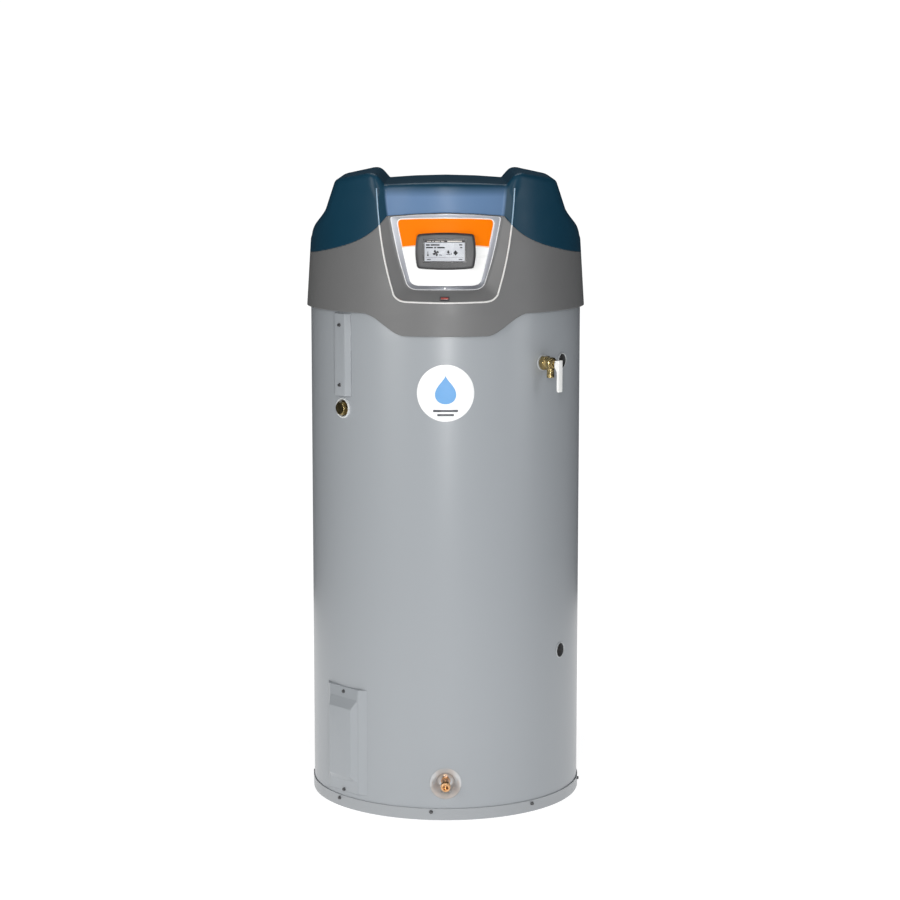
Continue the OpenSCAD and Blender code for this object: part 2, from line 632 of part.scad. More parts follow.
// Relief valve, built along -Y from the jacket's surface
stub_o = 23;
pin_o = 44;
pin_dz = 3.7;
module tp_frame() at(tp_a, tp_z) children();
module tp_valve_body() color("#a98a4a") tp_frame() difference() {
  union() {
    spoke(13.35, tank_r - 4, jacket_r + 3);
    translate([0, -jacket_r - 2, 0]) rotate([90, 0, 0]) hex(29, 11);
    spoke(13.6, jacket_r + 12, jacket_r + 30);
    spoke(10, jacket_r + 29, jacket_r + 36);
    spoke(5.5, jacket_r + 35, jacket_r + 49);
    translate([0, -jacket_r - stub_o, -31]) cylinder(r = 8.5, h = 31);
  }
  spoke(9.5, tank_r - 20, jacket_r + 8);
  spoke(7.5, jacket_r + 7, jacket_r + 30);
  spoke(2.3, jacket_r, jacket_r + 60);
  translate([0, -jacket_r - stub_o, -32]) cylinder(r = 6.6, h = 21);
  translate([0, -jacket_r - stub_o, -12]) cylinder(r = 5, h = 12);
  translate([0, -jacket_r - pin_o, pin_dz]) rotate([0, 90, 0]) cylinder(r = 1.12, h = 30, center = true);
}
module tp_valve_stem() color("#c8b070") tp_frame() {
  spoke(2.25, jacket_r + 20, jacket_r + 50.4);
  spoke(7, jacket_r + 16, jacket_r + 20);
}
module tp_valve_pin() color("#9a9a9a") tp_frame()
  translate([0, -jacket_r - pin_o, pin_dz]) rotate([0, 90, 0]) cylinder(r = 1.1, h = 17.6, center = true);
module tp_valve_lever() color("#f0f0ec") tp_frame() translate([0, -jacket_r, 0]) difference() {
  union() {
    for (s = [-1, 1]) translate([s * 7 - 1, -53, -14]) cube([2, 15, 22]);
    translate([-8, -53, -61]) cube([16, 2, 69]);
    for (s = [-1, 1]) translate([s * 7.2 - 0.8, -53, -58]) cube([1.6, 4.5, 50]);
  }
  translate([0, -pin_o, pin_dz]) rotate([0, 90, 0]) cylinder(r = 1.16, h = 30, center = true);
}

module grommet(r_in) {
  difference() {
    union() {
      spoke(r_in + 1.6, jacket_r - 22, jacket_r + 2);
      spoke(r_in + 2.6, jacket_r + gap, jacket_r + 2);
    }
    spoke(r_in, jacket_r - 23, jacket_r + 3);
  }
}
module port_grommets() color("#c4c8ca") {
  for (z = [hot_z, cold_z]) at(port_a, z) grommet(15.5);
  at(tp_a, tp_z) difference() {
    spoke(17.5, jacket_r + gap, jacket_r + 1.8);
    spoke(13.6, jacket_r - 1, jacket_r + 3);
  }
}
module water_ports() color("#8a7a55") for (z = [hot_z, cold_z]) at(port_a, z) difference() {
  spoke(15.2, tank_r - 4, jacket_r - 23);
  spoke(12.5, jacket_r - 45, jacket_r);
  spoke(11, tank_r - 20, jacket_r - 40);
}

module plug_bezel() color("#cfd2d3") at(left_a, plug_z) difference() {
  union() {
    spoke(20.2, jacket_r - 8, jacket_r + 4);
    spoke(22.5, jacket_r + gap, jacket_r + 4);
  }
  spoke(19, jacket_r - 10, jacket_r + 10);
}
module anode_plug() color("#a98a4a") at(left_a, plug_z) {
  spoke(16, tank_r - 4, jacket_r - 1);
  translate([0, 1 - jacket_r, 0]) rotate([90, 0, 0]) hex(27, 12);
  spoke(9, 128, tank_r - 3);
}
module temperature_probes() color("#b08f4f") for (z = [upper_probe_z, lower_probe_z]) at(left_a, z) {
  spoke(3.2, tank_r - 60, tank_r + 3);
  spoke(6, tank_r - 4, tank_r + 4);
  translate([0, -tank_r - 4, 0]) rotate([90, 0, 0]) hex(17, 9);
}

// Drain valve in its dish, built along -Y
dish_depth = 28;
module drain_recess() color("#c3c7c9") at(0, drain_z) intersection() {
  translate([0, dish_depth + 1 - jacket_r, 0]) rotate([90, 0, 0]) rotate_extrude() polygon([
    [8.8, 0], [18.5, 0], [35, dish_depth + 2], [33, dish_depth + 2], [17.5, 1.5], [8.8, 1.5]]);
  translate([0, 0, -100]) cylinder(r = jacket_r, h = 200);
}
nose_o = 31;
ball_o = -9;
module drain_body() color("#a98a4a") at(0, drain_z) difference() {
  union() {
    spoke(8.5, tank_r - 5, jacket_r - 20);
    translate([0, 26.5 - jacket_r, 0]) rotate([90, 0, 0]) hex(19, 8);
    spoke(8.6, jacket_r - 19, jacket_r + nose_o - 14);
    spoke(10.65, jacket_r + nose_o - 15, jacket_r + nose_o);
    translate([0, -jacket_r - ball_o, -15]) cylinder(r = 5, h = 10);
  }
  spoke(4, tank_r - 20, jacket_r + 10);
  spoke(6, jacket_r + 9, jacket_r + nose_o + 5);
  translate([0, -jacket_r - ball_o, 0]) sphere(r = 6.6);
  translate([0, -jacket_r - ball_o, -20]) cylinder(r = 2.55, h = 20);
}
module drain_stem() color("#8c7038") translate([0, -jacket_r - ball_o, drain_z]) difference() {
  union() {
    sphere(r = 6.5);
    translate([0, 0, -17]) cylinder(r = 2.5, h = 12);
    translate([0, 0, -18.5]) cylinder(r = 4.2, h = 3);
  }
  rotate([0, 90, 0]) cylinder(r = 4, h = 30, center = true);
  translate([-8, -0.7, -20]) cube([16, 1.4, 3]);
}

// Sheet covers on the left of the jacket
module race_area(g) polygon([[-27 + g, 5], [-27 + g, 0.8], [-17.5 + g * 0.6, g - 10], [17.5 - g * 0.6, g - 10],
  [27 - g, 0.8], [27 - g, 5]]);
module raceway_cover() color("#b4babd") at(left_a, raceway_z[0]) difference() {
  translate([0, -jacket_r, 0]) linear_extrude(raceway_z[1] - raceway_z[0]) race_area(0);
  translate([0, -jacket_r, -1]) linear_extrude(raceway_z[1] - raceway_z[0] + 2) race_area(1.2);
  translate([0, 0, -5]) cylinder(r = jacket_r + gap, h = 200);
  for (z = raceway_screws) translate([0, 0, z - raceway_z[0]]) spoke(2.2, jacket_r, jacket_r + 20);
}
// Mitred box: a plan and a side trapezoid crossed; foot and face are half-width and height pairs
module mitred(foot_x, face_x, foot_z, face_z, low, high, g) intersection() {
  translate([0, -jacket_r, 0]) linear_extrude(400) polygon([[-foot_x + g, -low + g], [-face_x + g / 2, -high + g],
    [face_x - g / 2, -high + g], [foot_x - g, -low + g]]);
  translate([100, -jacket_r, 0]) rotate([90, 0, -90]) linear_extrude(200) polygon([[low - g, foot_z[0] + g],
    [low - g, foot_z[1] - g], [high - g, face_z[1] - g / 2], [high - g, face_z[0] + g / 2]]);
}
module cover_solid(g) {
  mitred(70, 49.5, cover_z, [cover_z[0] + 4, cover_z[1] - 4], -9, 4, g);
  mitred(48.5, 37, [65.4, 255.5], [78.3, 234.9], 2, 16.4, g);
}
module access_cover() color("#b4babd") at(left_a, 0) difference() {
  cover_solid(0);
  difference() {
    cover_solid(1.2);
    for (z = cover_screws_z) translate([0, 0, z]) spoke(5, jacket_r, jacket_r + 3.5);
  }
  cylinder(r = jacket_r + gap, h = 400);
  for (z = cover_screws_z) translate([0, 0, z]) spoke(2.2, jacket_r - 5, jacket_r + 20);
}

module badge() color("white") at(0, badge_z) intersection() {
  tube(jacket_r + 0.9, jacket_r + 0.05, -100, 100);
  spoke(badge_r, jacket_r - 60, jacket_r + 20);
}

base_pan();
case_screws();
jacket();
jacket_lid();
foam_insulation();
tank_shell();
tank_top_head();
tank_bottom_head();
combustion_chamber();
flue_coil();
burner_gasket();
burner_flange();
flange_bolts();
burner_tube();
igniter();
flame_sensor();
mixing_duct();
blower_housing();
blower_impeller();
blower_motor();
gas_valve();
gas_inlet_pipe();
gas_feed_tube();
intake_collar();
intake_mixer();
exhaust_collar();
condensate_drain();
control_box();
control_board();
wiring_loom();
shroud_lower();
shroud_upper();
fascia_frame();
fascia_label();
display_bezel();
display_lens();
lcd_panel();
display_board();
key_1();
key_2();
key_3();
key_4();
key_5();
rocker_frame();
power_rocker();
tp_valve_body();
tp_valve_lever();
tp_valve_stem();
tp_valve_pin();
port_grommets();
water_ports();
plug_bezel();
anode_plug();
temperature_probes();
drain_recess();
drain_body();
drain_stem();
raceway_cover();
access_cover();
badge();
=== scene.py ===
"""Looks of the tank water heater, built round its CAD frame. Front towards -Y, +Z up.

Shapes are worked out in millimetres in the heater's own frame, and piece() scales them to metres.
"""

import json
from math import cos, dist, pi, radians, sin, sqrt

import bmesh
import bpy
import numpy as np
from mathutils import Matrix, Vector
from mathutils.geometry import delaunay_2d_cdt


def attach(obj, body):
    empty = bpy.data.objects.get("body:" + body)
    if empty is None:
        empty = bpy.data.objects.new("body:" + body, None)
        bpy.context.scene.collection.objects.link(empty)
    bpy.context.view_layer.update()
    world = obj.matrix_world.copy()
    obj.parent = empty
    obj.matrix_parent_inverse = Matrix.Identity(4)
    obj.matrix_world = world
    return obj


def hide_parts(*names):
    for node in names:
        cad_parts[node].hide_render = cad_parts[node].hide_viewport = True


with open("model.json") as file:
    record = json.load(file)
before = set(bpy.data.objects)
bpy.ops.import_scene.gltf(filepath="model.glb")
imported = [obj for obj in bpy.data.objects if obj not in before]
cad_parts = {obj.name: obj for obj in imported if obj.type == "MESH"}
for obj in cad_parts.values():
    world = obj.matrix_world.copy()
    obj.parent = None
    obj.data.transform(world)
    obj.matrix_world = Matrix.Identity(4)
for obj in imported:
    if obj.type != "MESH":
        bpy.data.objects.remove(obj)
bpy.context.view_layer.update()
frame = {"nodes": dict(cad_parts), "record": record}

MM = 0.001
JACKET_R = 305.0
LID_Z = 1134.0
BAND_R, BAND_H = 307.0, 27.0
LIP_R, LIP_Z, APRON_DROP = 314.0, 1121.0, 46.0
RECESS_R, RECESS_BACK = 284.0, -150.0
WALL, EDGE_ROUND, FLOOR_ROUND = 3.0, 13.0, 3.0
LEFT_A, RELIEF_A, PORT_A = -47.5, 44.3, 57.5
PLUG_Z, RELIEF_Z, HOT_Z, COLD_Z, DRAIN_Z, BADGE_Z = 907.7, 1009.3, 1007.7, 353.5, 83.4, 952.0
RACEWAY_Z, RACEWAY_SCREWS = (935.3, 1116.5), (959.2, 1091.3)
COVER_Z, COVER_SCREWS = (37.5, 283.0), (43.2, 269.3)
SCREW_Z, SCREW_A = 19.0, [-51 + 45 * i for i in range(8)]
EXHAUST_Z, INTAKE, GAS = 190.0, (60.0, 1275.0), (-150.0, 1200.0)
VENT_R, GAS_R = 44.6, 13.35
DISPLAY_Y, DISPLAY_Z = -292.0, 1256.5
KEY_Z, KEY_PITCH = 1225.5, 18.0
LENS = (-2.0, 1258.0)
DISPLAY_HOLE, ROCKER_HOLE, VENT_HOLE_R = (57.5, 36.5), (9.2, 3.1), 51.5
ROCKER = (-2, 1155.6)
PITCH, THREAD_DEPTH = 1.81, 0.9
DISH_DEPTH = 27.5


# --- materials
def new_material(name):
    look = bpy.data.materials.new(name)
    look.use_nodes = True
    return look, look.node_tree, look.node_tree.nodes["Principled BSDF"]


def feed(target, inputs):
    """Sets a node's inputs; each is given its value or the socket that feeds it."""
    for name, value in inputs.items():
        if isinstance(value, bpy.types.NodeSocket):
            target.id_data.links.new(value, target.inputs[name])
        else:
            target.inputs[name].default_value = value


def node(tree, kind, inputs=None, **settings):
    """Adds a shader node to a tree and gives back its outputs."""
    made = tree.nodes.new("ShaderNode" + kind)
    for name, value in settings.items():
        setattr(made, name, value)
    feed(made, inputs or {})
    return made.outputs


def noise(tree, size, detail):
    """Noise over the heater's own frame, with features of about size millimetres."""
    place = node(tree, "TexCoord")["Object"]
    scaled = node(tree, "Mapping", {"Vector": place, "Scale": [1 / (size * MM)] * 3})["Vector"]
    return node(tree, "TexNoise", {"Vector": scaled, "Scale": 1.0, "Detail": detail})["Fac"]


def remap(tree, value, low, high, start=0.3, end=0.7):
    return node(tree, "MapRange", {"Value": value, "From Min": start, "From Max": end,
                                   "To Min": low, "To Max": high})["Result"]


def mix_colour(tree, factor, first, second):
    """Mix of two colours; each is a socket or three numbers."""
    first, second = (colour if isinstance(colour, bpy.types.NodeSocket) else (*colour, 1.0)
                     for colour in (first, second))
    return node(tree, "Mix", {"Factor": factor, 6: first, 7: second}, data_type="RGBA")[2]


def shades(colour, amount):
    return [c * (1 - amount) for c in colour], [min(1.0, c * (1 + amount)) for c in colour]


def surface(name, colour, rough, metal=0.0, coat=0.0, gleam=0.5, mottle=0.04, mottle_size=60,
            smudge=0.05, smudge_size=45, grain=0.004, grain_size=1.6):
    """Painted, moulded or machined surface: drifting colour, uneven gloss and a grain in millimetres."""
    look, tree, shader = new_material(name)
    tint = mix_colour(tree, noise(tree, mottle_size, 4.0), *shades(colour, mottle))
    gloss = remap(tree, noise(tree, smudge_size, 5.0), max(0.02, rough - smudge), rough + smudge)
    bump = node(tree, "Bump", {"Height": noise(tree, grain_size, 2.0), "Distance": grain * MM,
                               "Strength": 1.0})["Normal"]
    feed(shader, {"Base Color": tint, "Roughness": gloss, "Normal": bump, "Metallic": metal,
                  "Coat Weight": coat, "Coat Roughness": 0.12, "Specular IOR Level": gleam})
    return look


def glow(look, colour, strength):
    feed(look.node_tree.nodes["Principled BSDF"],
         {"Emission Color": (*colour, 1.0), "Emission Strength": strength})
    return look


def position(tree, kind="Object"):
    """Position in the heater's own frame (or kind of coordinate), whole and as its X, Y and Z."""
    place = node(tree, "TexCoord")[kind]
    return place, node(tree, "SeparateXYZ", {0: place})


def flat_length(tree, vector):
    """Length of a vector's X and Y parts."""
    level = node(tree, "VectorMath", {0: vector, 1: (1, 1, 0)}, operation="MULTIPLY")["Vector"]
    return node(tree, "VectorMath", {0: level}, operation="LENGTH")["Value"]


def product(tree, total, *factors):
    for factor in factors:
        total = node(tree, "Math", {0: total, 1: factor}, operation="MULTIPLY")[0]
    return total


def tinted(look, factor, colour):
    """Mixes a second colour over a look's own."""
    shader = look.node_tree.nodes["Principled BSDF"]
    own = shader.inputs["Base Color"].links[0].from_socket
    feed(shader, {"Base Color": mix_colour(look.node_tree, factor, own, colour)})
    return look


LOOKS = {
    "jacket_paint": surface("jacket_enamel", (0.325, 0.345, 0.365), 0.30, mottle=0.012, mottle_size=420,
                            smudge=0.012, smudge_size=300, grain=0.002, grain_size=2.4),
    "base_paint": surface("base_enamel", (0.32, 0.335, 0.35), 0.36, mottle=0.015, mottle_size=200,
                          smudge=0.02),
    "screw_black": surface("black_screws", (0.09, 0.09, 0.092), 0.36, metal=0.5, mottle=0.2, mottle_size=3),
    "zinc_steel": surface("zinc_sheet", (0.56, 0.57, 0.58), 0.34, metal=1.0, mottle=0.12, mottle_size=14),
    "foam": surface("rigid_foam", (0.72, 0.60, 0.30), 0.95, mottle=0.12, mottle_size=9,
                    grain=0.4, grain_size=4),
    "tank_enamel": surface("tank_enamel", (0.05, 0.11, 0.19), 0.30, mottle=0.1),
    "flue_steel": surface("flue_steel", (0.25, 0.27, 0.29), 0.42, metal=0.9, mottle=0.15, mottle_size=20),
    "gasket": surface("ceramic_fibre", (0.62, 0.59, 0.52), 0.95, mottle=0.1, mottle_size=3, grain=0.15),
    "cast_alloy": surface("cast_alloy", (0.55, 0.56, 0.57), 0.48, metal=1.0, mottle=0.1, mottle_size=8,
                          grain=0.05),
    "electrode_ceramic": surface("fired_ceramic", (0.82, 0.80, 0.74), 0.28, mottle=0.05, mottle_size=6),
    "black_plastic": surface("black_moulding", (0.03, 0.03, 0.033), 0.42, mottle=0.1,
                             grain=0.02, grain_size=0.6),
    "black_pipe": surface("black_pipe", (0.055, 0.056, 0.058), 0.5, metal=0.3, mottle=0.2, mottle_size=12,
                          grain=0.03),
    "brass": surface("machined_brass", (0.44, 0.345, 0.165), 0.22, metal=1.0, mottle=0.16, mottle_size=9,
                     smudge=0.1, smudge_size=7, grain_size=0.7),
    "vent_plastic": surface("vent_plastic", (0.78, 0.78, 0.76), 0.40, mottle_size=25),
    "board_green": surface("board_green", (0.03, 0.15, 0.06), 0.35, mottle=0.2, mottle_size=5),
    "shroud_grey": surface("grey_moulding", (0.155, 0.155, 0.155), 0.42, gleam=0.4, mottle=0.03,
                           grain=0.012, grain_size=0.9),
    "label_print": surface("label_white", (0.95, 0.95, 0.94), 0.30, mottle=0.01, grain=0.002),
    "bezel_grey": surface("bezel_moulding", (0.07, 0.07, 0.072), 0.42, gleam=0.4, mottle=0.05,
                          grain=0.012, grain_size=0.7),
    "rocker_red": surface("rocker_red", (0.40, 0.05, 0.04), 0.30, mottle=0.06, mottle_size=6),
    "lever_white": surface("lever_white", (0.86, 0.86, 0.84), 0.34, mottle=0.03, mottle_size=15),
    "pin_steel": surface("steel_pin", (0.55, 0.55, 0.55), 0.26, metal=1.0, mottle=0.08, mottle_size=3),
    "bezel_ring": surface("pale_ring", (0.62, 0.64, 0.65), 0.34, mottle_size=12),
    "badge_print": surface("badge_white", (0.90, 0.90, 0.90), 0.28, mottle=0.015, grain=0.002),
    "lcd": glow(surface("lcd_grey", (0.44, 0.46, 0.50), 0.30, mottle=0.03, mottle_size=20),
                (0.58, 0.62, 0.72), 0.10),
}


def blue_moulding_painted_light():
    """Navy shell; painted light: the recessed panel between the ears is mixed to a lighter blue for the light
    it catches.
    """
    look = surface("blue_moulding_painted_light", (0.007, 0.042, 0.074), 0.34, gleam=0.2, mottle=0.05,
                   grain=0.006, grain_size=1.4)
    tree = look.node_tree
    place, part = position(tree)
    inside = remap(tree, flat_length(tree, place), 1.0, 0.0, (RECESS_R + 0.8) * MM, (RECESS_R + 5) * MM)
    below = remap(tree, part["Z"], 1.0, 0.0, 1.372, 1.396)
    front = remap(tree, part["Y"], 1.0, 0.0, -0.256, -0.246)
    # Painted light: this lighter blue over the recessed panel stands in for light falling on it.
    return tinted(look, product(tree, inside, below, front), (0.118, 0.208, 0.36))


def silver_paint_with_painted_shade():
    """Silver trim paint, with painted shade darkening it towards its foot."""
    look = surface("silver_paint_with_painted_shade", (0.43, 0.44, 0.48), 0.40, metal=0.6, mottle=0.02, smudge=0.02,
                   grain=0.0005)
    # Painted shade: darker silver mixed in towards the frame's foot.
    foot = remap(look.node_tree, position(look.node_tree)[1]["Z"], 1.0, 0.0, 1.178, 1.285)
    return tinted(look, foot, (0.155, 0.162, 0.18))


def clear_window():
    """Thin clear plastic: mostly see-through, with a soft sheen."""
    look, tree, shader = new_material("clear_window")
    feed(shader, {"Base Color": (0.05, 0.055, 0.06, 1.0), "Specular IOR Level": 0.25,
                  "Alpha": remap(tree, noise(tree, 18, 4.0), 0.05, 0.08),
                  "Roughness": remap(tree, noise(tree, 12, 4.0), 0.10, 0.18)})
    return look


LOOKS["shroud_blue"] = blue_moulding_painted_light()
LOOKS["frame_silver"] = silver_paint_with_painted_shade()
LOOKS["lens"] = clear_window()


def print_ink(name, colour, size=12, gleam=0.2, rough=0.36, mottle=0.04):
    return surface(name, colour, rough, gleam=gleam, mottle=mottle, mottle_size=size)


LCD_INK = print_ink("lcd_ink", (0.008, 0.008, 0.01), 2, 0.1, 0.5, 0.1)
LCD_HEADER = print_ink("lcd_header", (0.03, 0.025, 0.025), 5, 0.1, 0.5, 0.1)
LCD_MARK = print_ink("lcd_mark", (0.66, 0.62, 0.56), 3, 0.5, 0.35, 0.06)
DROP_BLUE = print_ink("badge_blue", (0.16, 0.38, 0.70))
BADGE_GREY = print_ink("badge_grey", (0.06, 0.065, 0.075), gleam=0.5, rough=0.30)
ORANGE = surface("label_orange", (0.93, 0.195, 0.0), 0.5, gleam=0.06, mottle=0.015, grain=0.002)
CREAM = surface("label_cream", (0.92, 0.66, 0.50), 0.32, mottle=0.02, grain=0.002)
# Paler crest beads: painted highlight along the shroud's rounded crest, grey below and blue above.
CREST_HIGHLIGHT_PALE = surface("crest_highlight_pale", (0.72, 0.71, 0.69), 0.30, mottle_size=20)
CREST_HIGHLIGHT_BLUE = surface("crest_highlight_blue", (0.27, 0.40, 0.52), 0.30, mottle_size=20)
DISH = surface("dish_finish", (0.58, 0.595, 0.61), 0.22, metal=0.25, coat=1.0, mottle=0.02, smudge=0.03)
RIM_GREY = surface("port_rim", (0.44, 0.46, 0.47), 0.34, mottle=0.03, mottle_size=12)
RED_BRASS = surface("red_brass", (0.62, 0.36, 0.18), 0.26, metal=1.0, mottle=0.14, mottle_size=7,
                    smudge=0.08, grain_size=0.7)
# Near-black port sleeves: painted shade for the deep inside of the port holes.
PAINTED_SHADE_SLEEVE = surface("sleeve_painted_shade", (0.07, 0.07, 0.072), 0.5, mottle=0.12, mottle_size=8, grain=0.02)
LIP_PALE = surface("frame_lip", (0.78, 0.78, 0.79), 0.28, metal=0.2, mottle=0.03, grain=0.002)
# Near-black: painted shade on the display bezel's sides and outer rounding; also the LCD's black mask.
PAINTED_SHADE_AND_MASK_BLACK = surface("bezel_painted_shade_and_lcd_mask", (0.025, 0.025, 0.027), 0.34, mottle=0.08, mottle_size=8)


# --- shapes: (points in mm, faces)
def join(*shapes):
    points, faces = [], []
    for more, links in shapes:
        faces += [tuple(i + len(points) for i in face) for face in links]
        points += [tuple(p) for p in more]
    return points, faces


def moved(shape, matrix):
    return [tuple(matrix @ Vector(p)) for p in shape[0]], shape[1]


def turns(n):
    """n equal steps of angle round a full turn."""
    return [2 * pi * k / n for k in range(n)]


def circle(r, n, centre=(0, 0)):
    return [(centre[0] + r * cos(a), centre[1] + r * sin(a)) for a in turns(n)]


def rings(loops, first=False, last=False):
    """Skin over loops with equal point counts; first and last fill the ends."""
    n = len(loops[0])
    points = [tuple(p) for loop in loops for p in loop]
    faces = [(i * n + k, i * n + (k + 1) % n, (i + 1) * n + (k + 1) % n, (i + 1) * n + k)
             for i in range(len(loops) - 1) for k in range(n)]
    if first:
        faces.append(tuple(range(n - 1, -1, -1)))
    if last:
        faces.append(tuple((len(loops) - 1) * n + k for k in range(n)))
    return points, faces


def polar(radius, heights, n=96, first=True, last=True):
    """Round-ish body along local z; radius(angle, height) gives its outline."""
    def loop(h):
        return [(radius(a, h) * cos(a), radius(a, h) * sin(a), h) for a in turns(n)]

    return rings([loop(h) for h in heights], first, last)


def lathe(profile, n=96, first=False, last=False):
    """Surface of revolution about local z through (radius, height) points."""
    return rings([[(x, y, h) for x, y in circle(r, n)] for r, h in profile], first, last)


def nut(across, low, high, chamfer=1.2, n=96, both=False):
    """Hexagon with turned chamfers."""
    flat = across / 2
    corner = flat / cos(pi / 6)

    def radius(a, h):
        edge = flat / cos(a % (pi / 3) - pi / 6)
        drop = min(high - h, (h - low) if both else high)
        return min(edge, flat + (corner - flat) * min(1.0, drop / chamfer) - 0.02 * flat * (drop < 1e-6))

    steps = [chamfer * i / 5 for i in range(6)]
    heights = ([low + s for s in steps] if both else [low]) + [high - s for s in reversed(steps)]
    return polar(radius, heights, n)


def thread(r, low, high, first=False):
    """Helical pipe thread with run-out at both ends."""
    def radius(a, h):
        fade = min(1.0, (h - low) / PITCH, (high - h) / PITCH)
        wave = abs(((h / PITCH - a / (2 * pi)) % 1.0) * 2 - 1)
        return r - THREAD_DEPTH * (1 - max(0.0, fade)) - THREAD_DEPTH * max(0.0, fade) * wave

    count = max(2, int((high - low) / (PITCH / 8)))
    return polar(radius, [low + (high - low) * i / count for i in range(count + 1)], 72, first, False)


def sweep(path, radius, n=12):
    """Round bar along a path."""
    path = [Vector(p) for p in path]
    side = None
    loops = []
    for i, p in enumerate(path):
        ahead = (path[min(i + 1, len(path) - 1)] - path[max(i - 1, 0)]).normalized()
        side = (side - ahead * side.dot(ahead)) if side else ahead.orthogonal()
        side.normalize()
        up = ahead.cross(side)
        loops.append([p + radius * (cos(a) * side + sin(a) * up) for a in turns(n)])
    return rings(loops, True, True)


def bez(a, b, c, d, n=16):
    """n + 1 points along a cubic curve from a to d."""
    a, b, c, d = (np.array(p, float) for p in (a, b, c, d))
    t = np.linspace(0, 1, n + 1)[:, None]
    s = 1 - t
    return [tuple(p) for p in s ** 3 * a + 3 * s ** 2 * t * b + 3 * s * t * t * c + t ** 3 * d]


def resample(points, n):
    """n + 1 points evenly spaced along a chain."""
    points = np.array(points, float)
    along = np.concatenate([[0], np.cumsum(np.linalg.norm(np.diff(points, axis=0), axis=1))])
    at = np.linspace(0, along[-1], n + 1)
    return list(zip(*(np.interp(at, along, column) for column in points.T)))


def mirrored(half):
    """Closed outline from its right half, which starts and ends on the centre line."""
    return list(half) + [(-x, z) for x, z in reversed(half[1:-1])]


def barrel(w, h, r, bulge=0.0, side=10, corner=8):
    """Rectangle of half-size w, h with round corners and bowed sides, counter-clockwise from +x."""
    cx, cz = w - bulge - r, h - bulge - r

    def arc(sx, sz, start):
        return [(sx * cx + r * cos(radians(start + 90 * i / corner)),
                 sz * cz + r * sin(radians(start + 90 * i / corner))) for i in range(corner + 1)]

    def along(n):
        return [1 - 2 * i / n for i in range(1, n)]

    top = [(t * cx, h - bulge * t * t) for t in along(side)]
    left = [(bulge * t * t - w, t * cz) for t in along(side)]
    return arc(1, 1, 0) + top + arc(-1, 1, 90) + left + arc(-1, -1, 180) + \
        [(-x, -z) for x, z in top] + arc(1, -1, 270) + [(-x, -z) for x, z in left]


def fill(outline, step=6.0):
    """Triangles inside a flat outline, fine enough to be draped over a round surface."""
    edge = sum(dist(p, q) for p, q in zip(outline, outline[1:] + outline[:1]))
    count = max(len(outline), int(edge / (step * 0.5)))
    outline = np.array(resample(outline + outline[:1], count)[:-1])
    low, high = outline.min(axis=0) + step / 2, outline.max(axis=0)
    grid = [(x, z) for x in np.arange(low[0], high[0], step) for z in np.arange(low[1], high[1], step)]
    if grid:
        inside = outline_distance(np.array(grid), outline) < -0.35 * step
        grid = [g for g, kept in zip(grid, inside) if kept]
    corners = [Vector(p) for p in [*outline, *grid]]
    points, _, faces, *_ = delaunay_2d_cdt(corners, [], [list(range(len(outline)))], 1, 1e-4)
    return [(p.x, p.y, 0.0) for p in points], [tuple(f) for f in faces]


def wrapped(shape, r, centre=(0.0, 0.0)):
    """Drapes a flat front-view shape (x, z, height off the surface) over a cylinder of radius r."""
    def draped(x, z, lift):
        return x, -sqrt((r + lift) ** 2 - x ** 2), z

    return [draped(x + centre[0], z + centre[1], lift) for x, z, lift in shape[0]], shape[1]


def upright(shape, y, centre=(0.0, 0.0)):
    """Stands a flat front-view shape in the plane at y; its third number comes towards the viewer."""
    return [(x + centre[0], y - lift, z + centre[1]) for x, z, lift in shape[0]], shape[1]


def fitting(a, z, out=JACKET_R):
    """Frame of a fitting: local x to the right, y up and z away from the jacket."""
    a = radians(a)
    right, up = Vector((cos(a), sin(a), 0)), Vector((0, 0, 1))
    away = right.cross(up)
    place = Matrix.Identity(4)
    for i, axis in enumerate((right, up, away, away * out + up * z)):
        place.col[i][:3] = axis
    return place


def rear(x, z):
    """Frame of a straight rear fitting: local z towards +Y, starting on the heater's axis."""
    return Matrix.Translation((x, 0, z)) @ Matrix.Rotation(radians(-90), 4, "X")


def built(name, shape):
    """Mesh of a shape in metres, with double points merged and its faces turned outwards."""
    mesh = bpy.data.meshes.new(name)
    mesh.from_pydata([tuple(c * MM for c in p) for p in shape[0]], [], [tuple(f) for f in shape[1]])
    shell = bmesh.new()
    shell.from_mesh(mesh)
    bmesh.ops.remove_doubles(shell, verts=shell.verts, dist=1e-6)
    bmesh.ops.recalc_face_normals(shell, faces=shell.faces)
    shell.to_mesh(mesh)
    shell.free()
    return mesh


def placed(name, data):
    """New object in the scene."""
    obj = bpy.data.objects.new(name, data)
    bpy.context.scene.collection.objects.link(obj)
    return obj


def piece(name, shape, slot, nodes=(), look=None, body="case", sharp=32):
    """Makes an object of a shape, rides it on its body and hides the CAD nodes it stands in for."""
    mesh = built(name, shape)
    mesh.shade_smooth()
    mesh.set_sharp_from_angle(angle=radians(sharp))
    mesh.materials.append(look or LOOKS[slot])
    obj = placed(name, mesh)
    if nodes:
        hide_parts(*nodes)
    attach(obj, body)
    return obj


# --- shroud
def outline_distance(points, outline):
    """Signed distance of flat points to a closed outline, negative inside."""
    best = np.full(len(points), np.inf)
    inside = np.zeros(len(points), bool)
    x, z = points[:, 0], points[:, 1]
    for p, q in zip(outline, np.roll(outline, -1, axis=0)):
        d = q - p
        t = np.clip(((x - p[0]) * d[0] + (z - p[1]) * d[1]) / (d @ d + 1e-12), 0, 1)
        best = np.minimum(best, (x - p[0] - t * d[0]) ** 2 + (z - p[1] - t * d[1]) ** 2)
        if abs(d[1]) > 1e-9:
            inside ^= ((p[1] > z) != (q[1] > z)) & (x < d[0] * (z - p[1]) / d[1] + p[0])
    return np.sqrt(best) * np.where(inside, -1, 1)


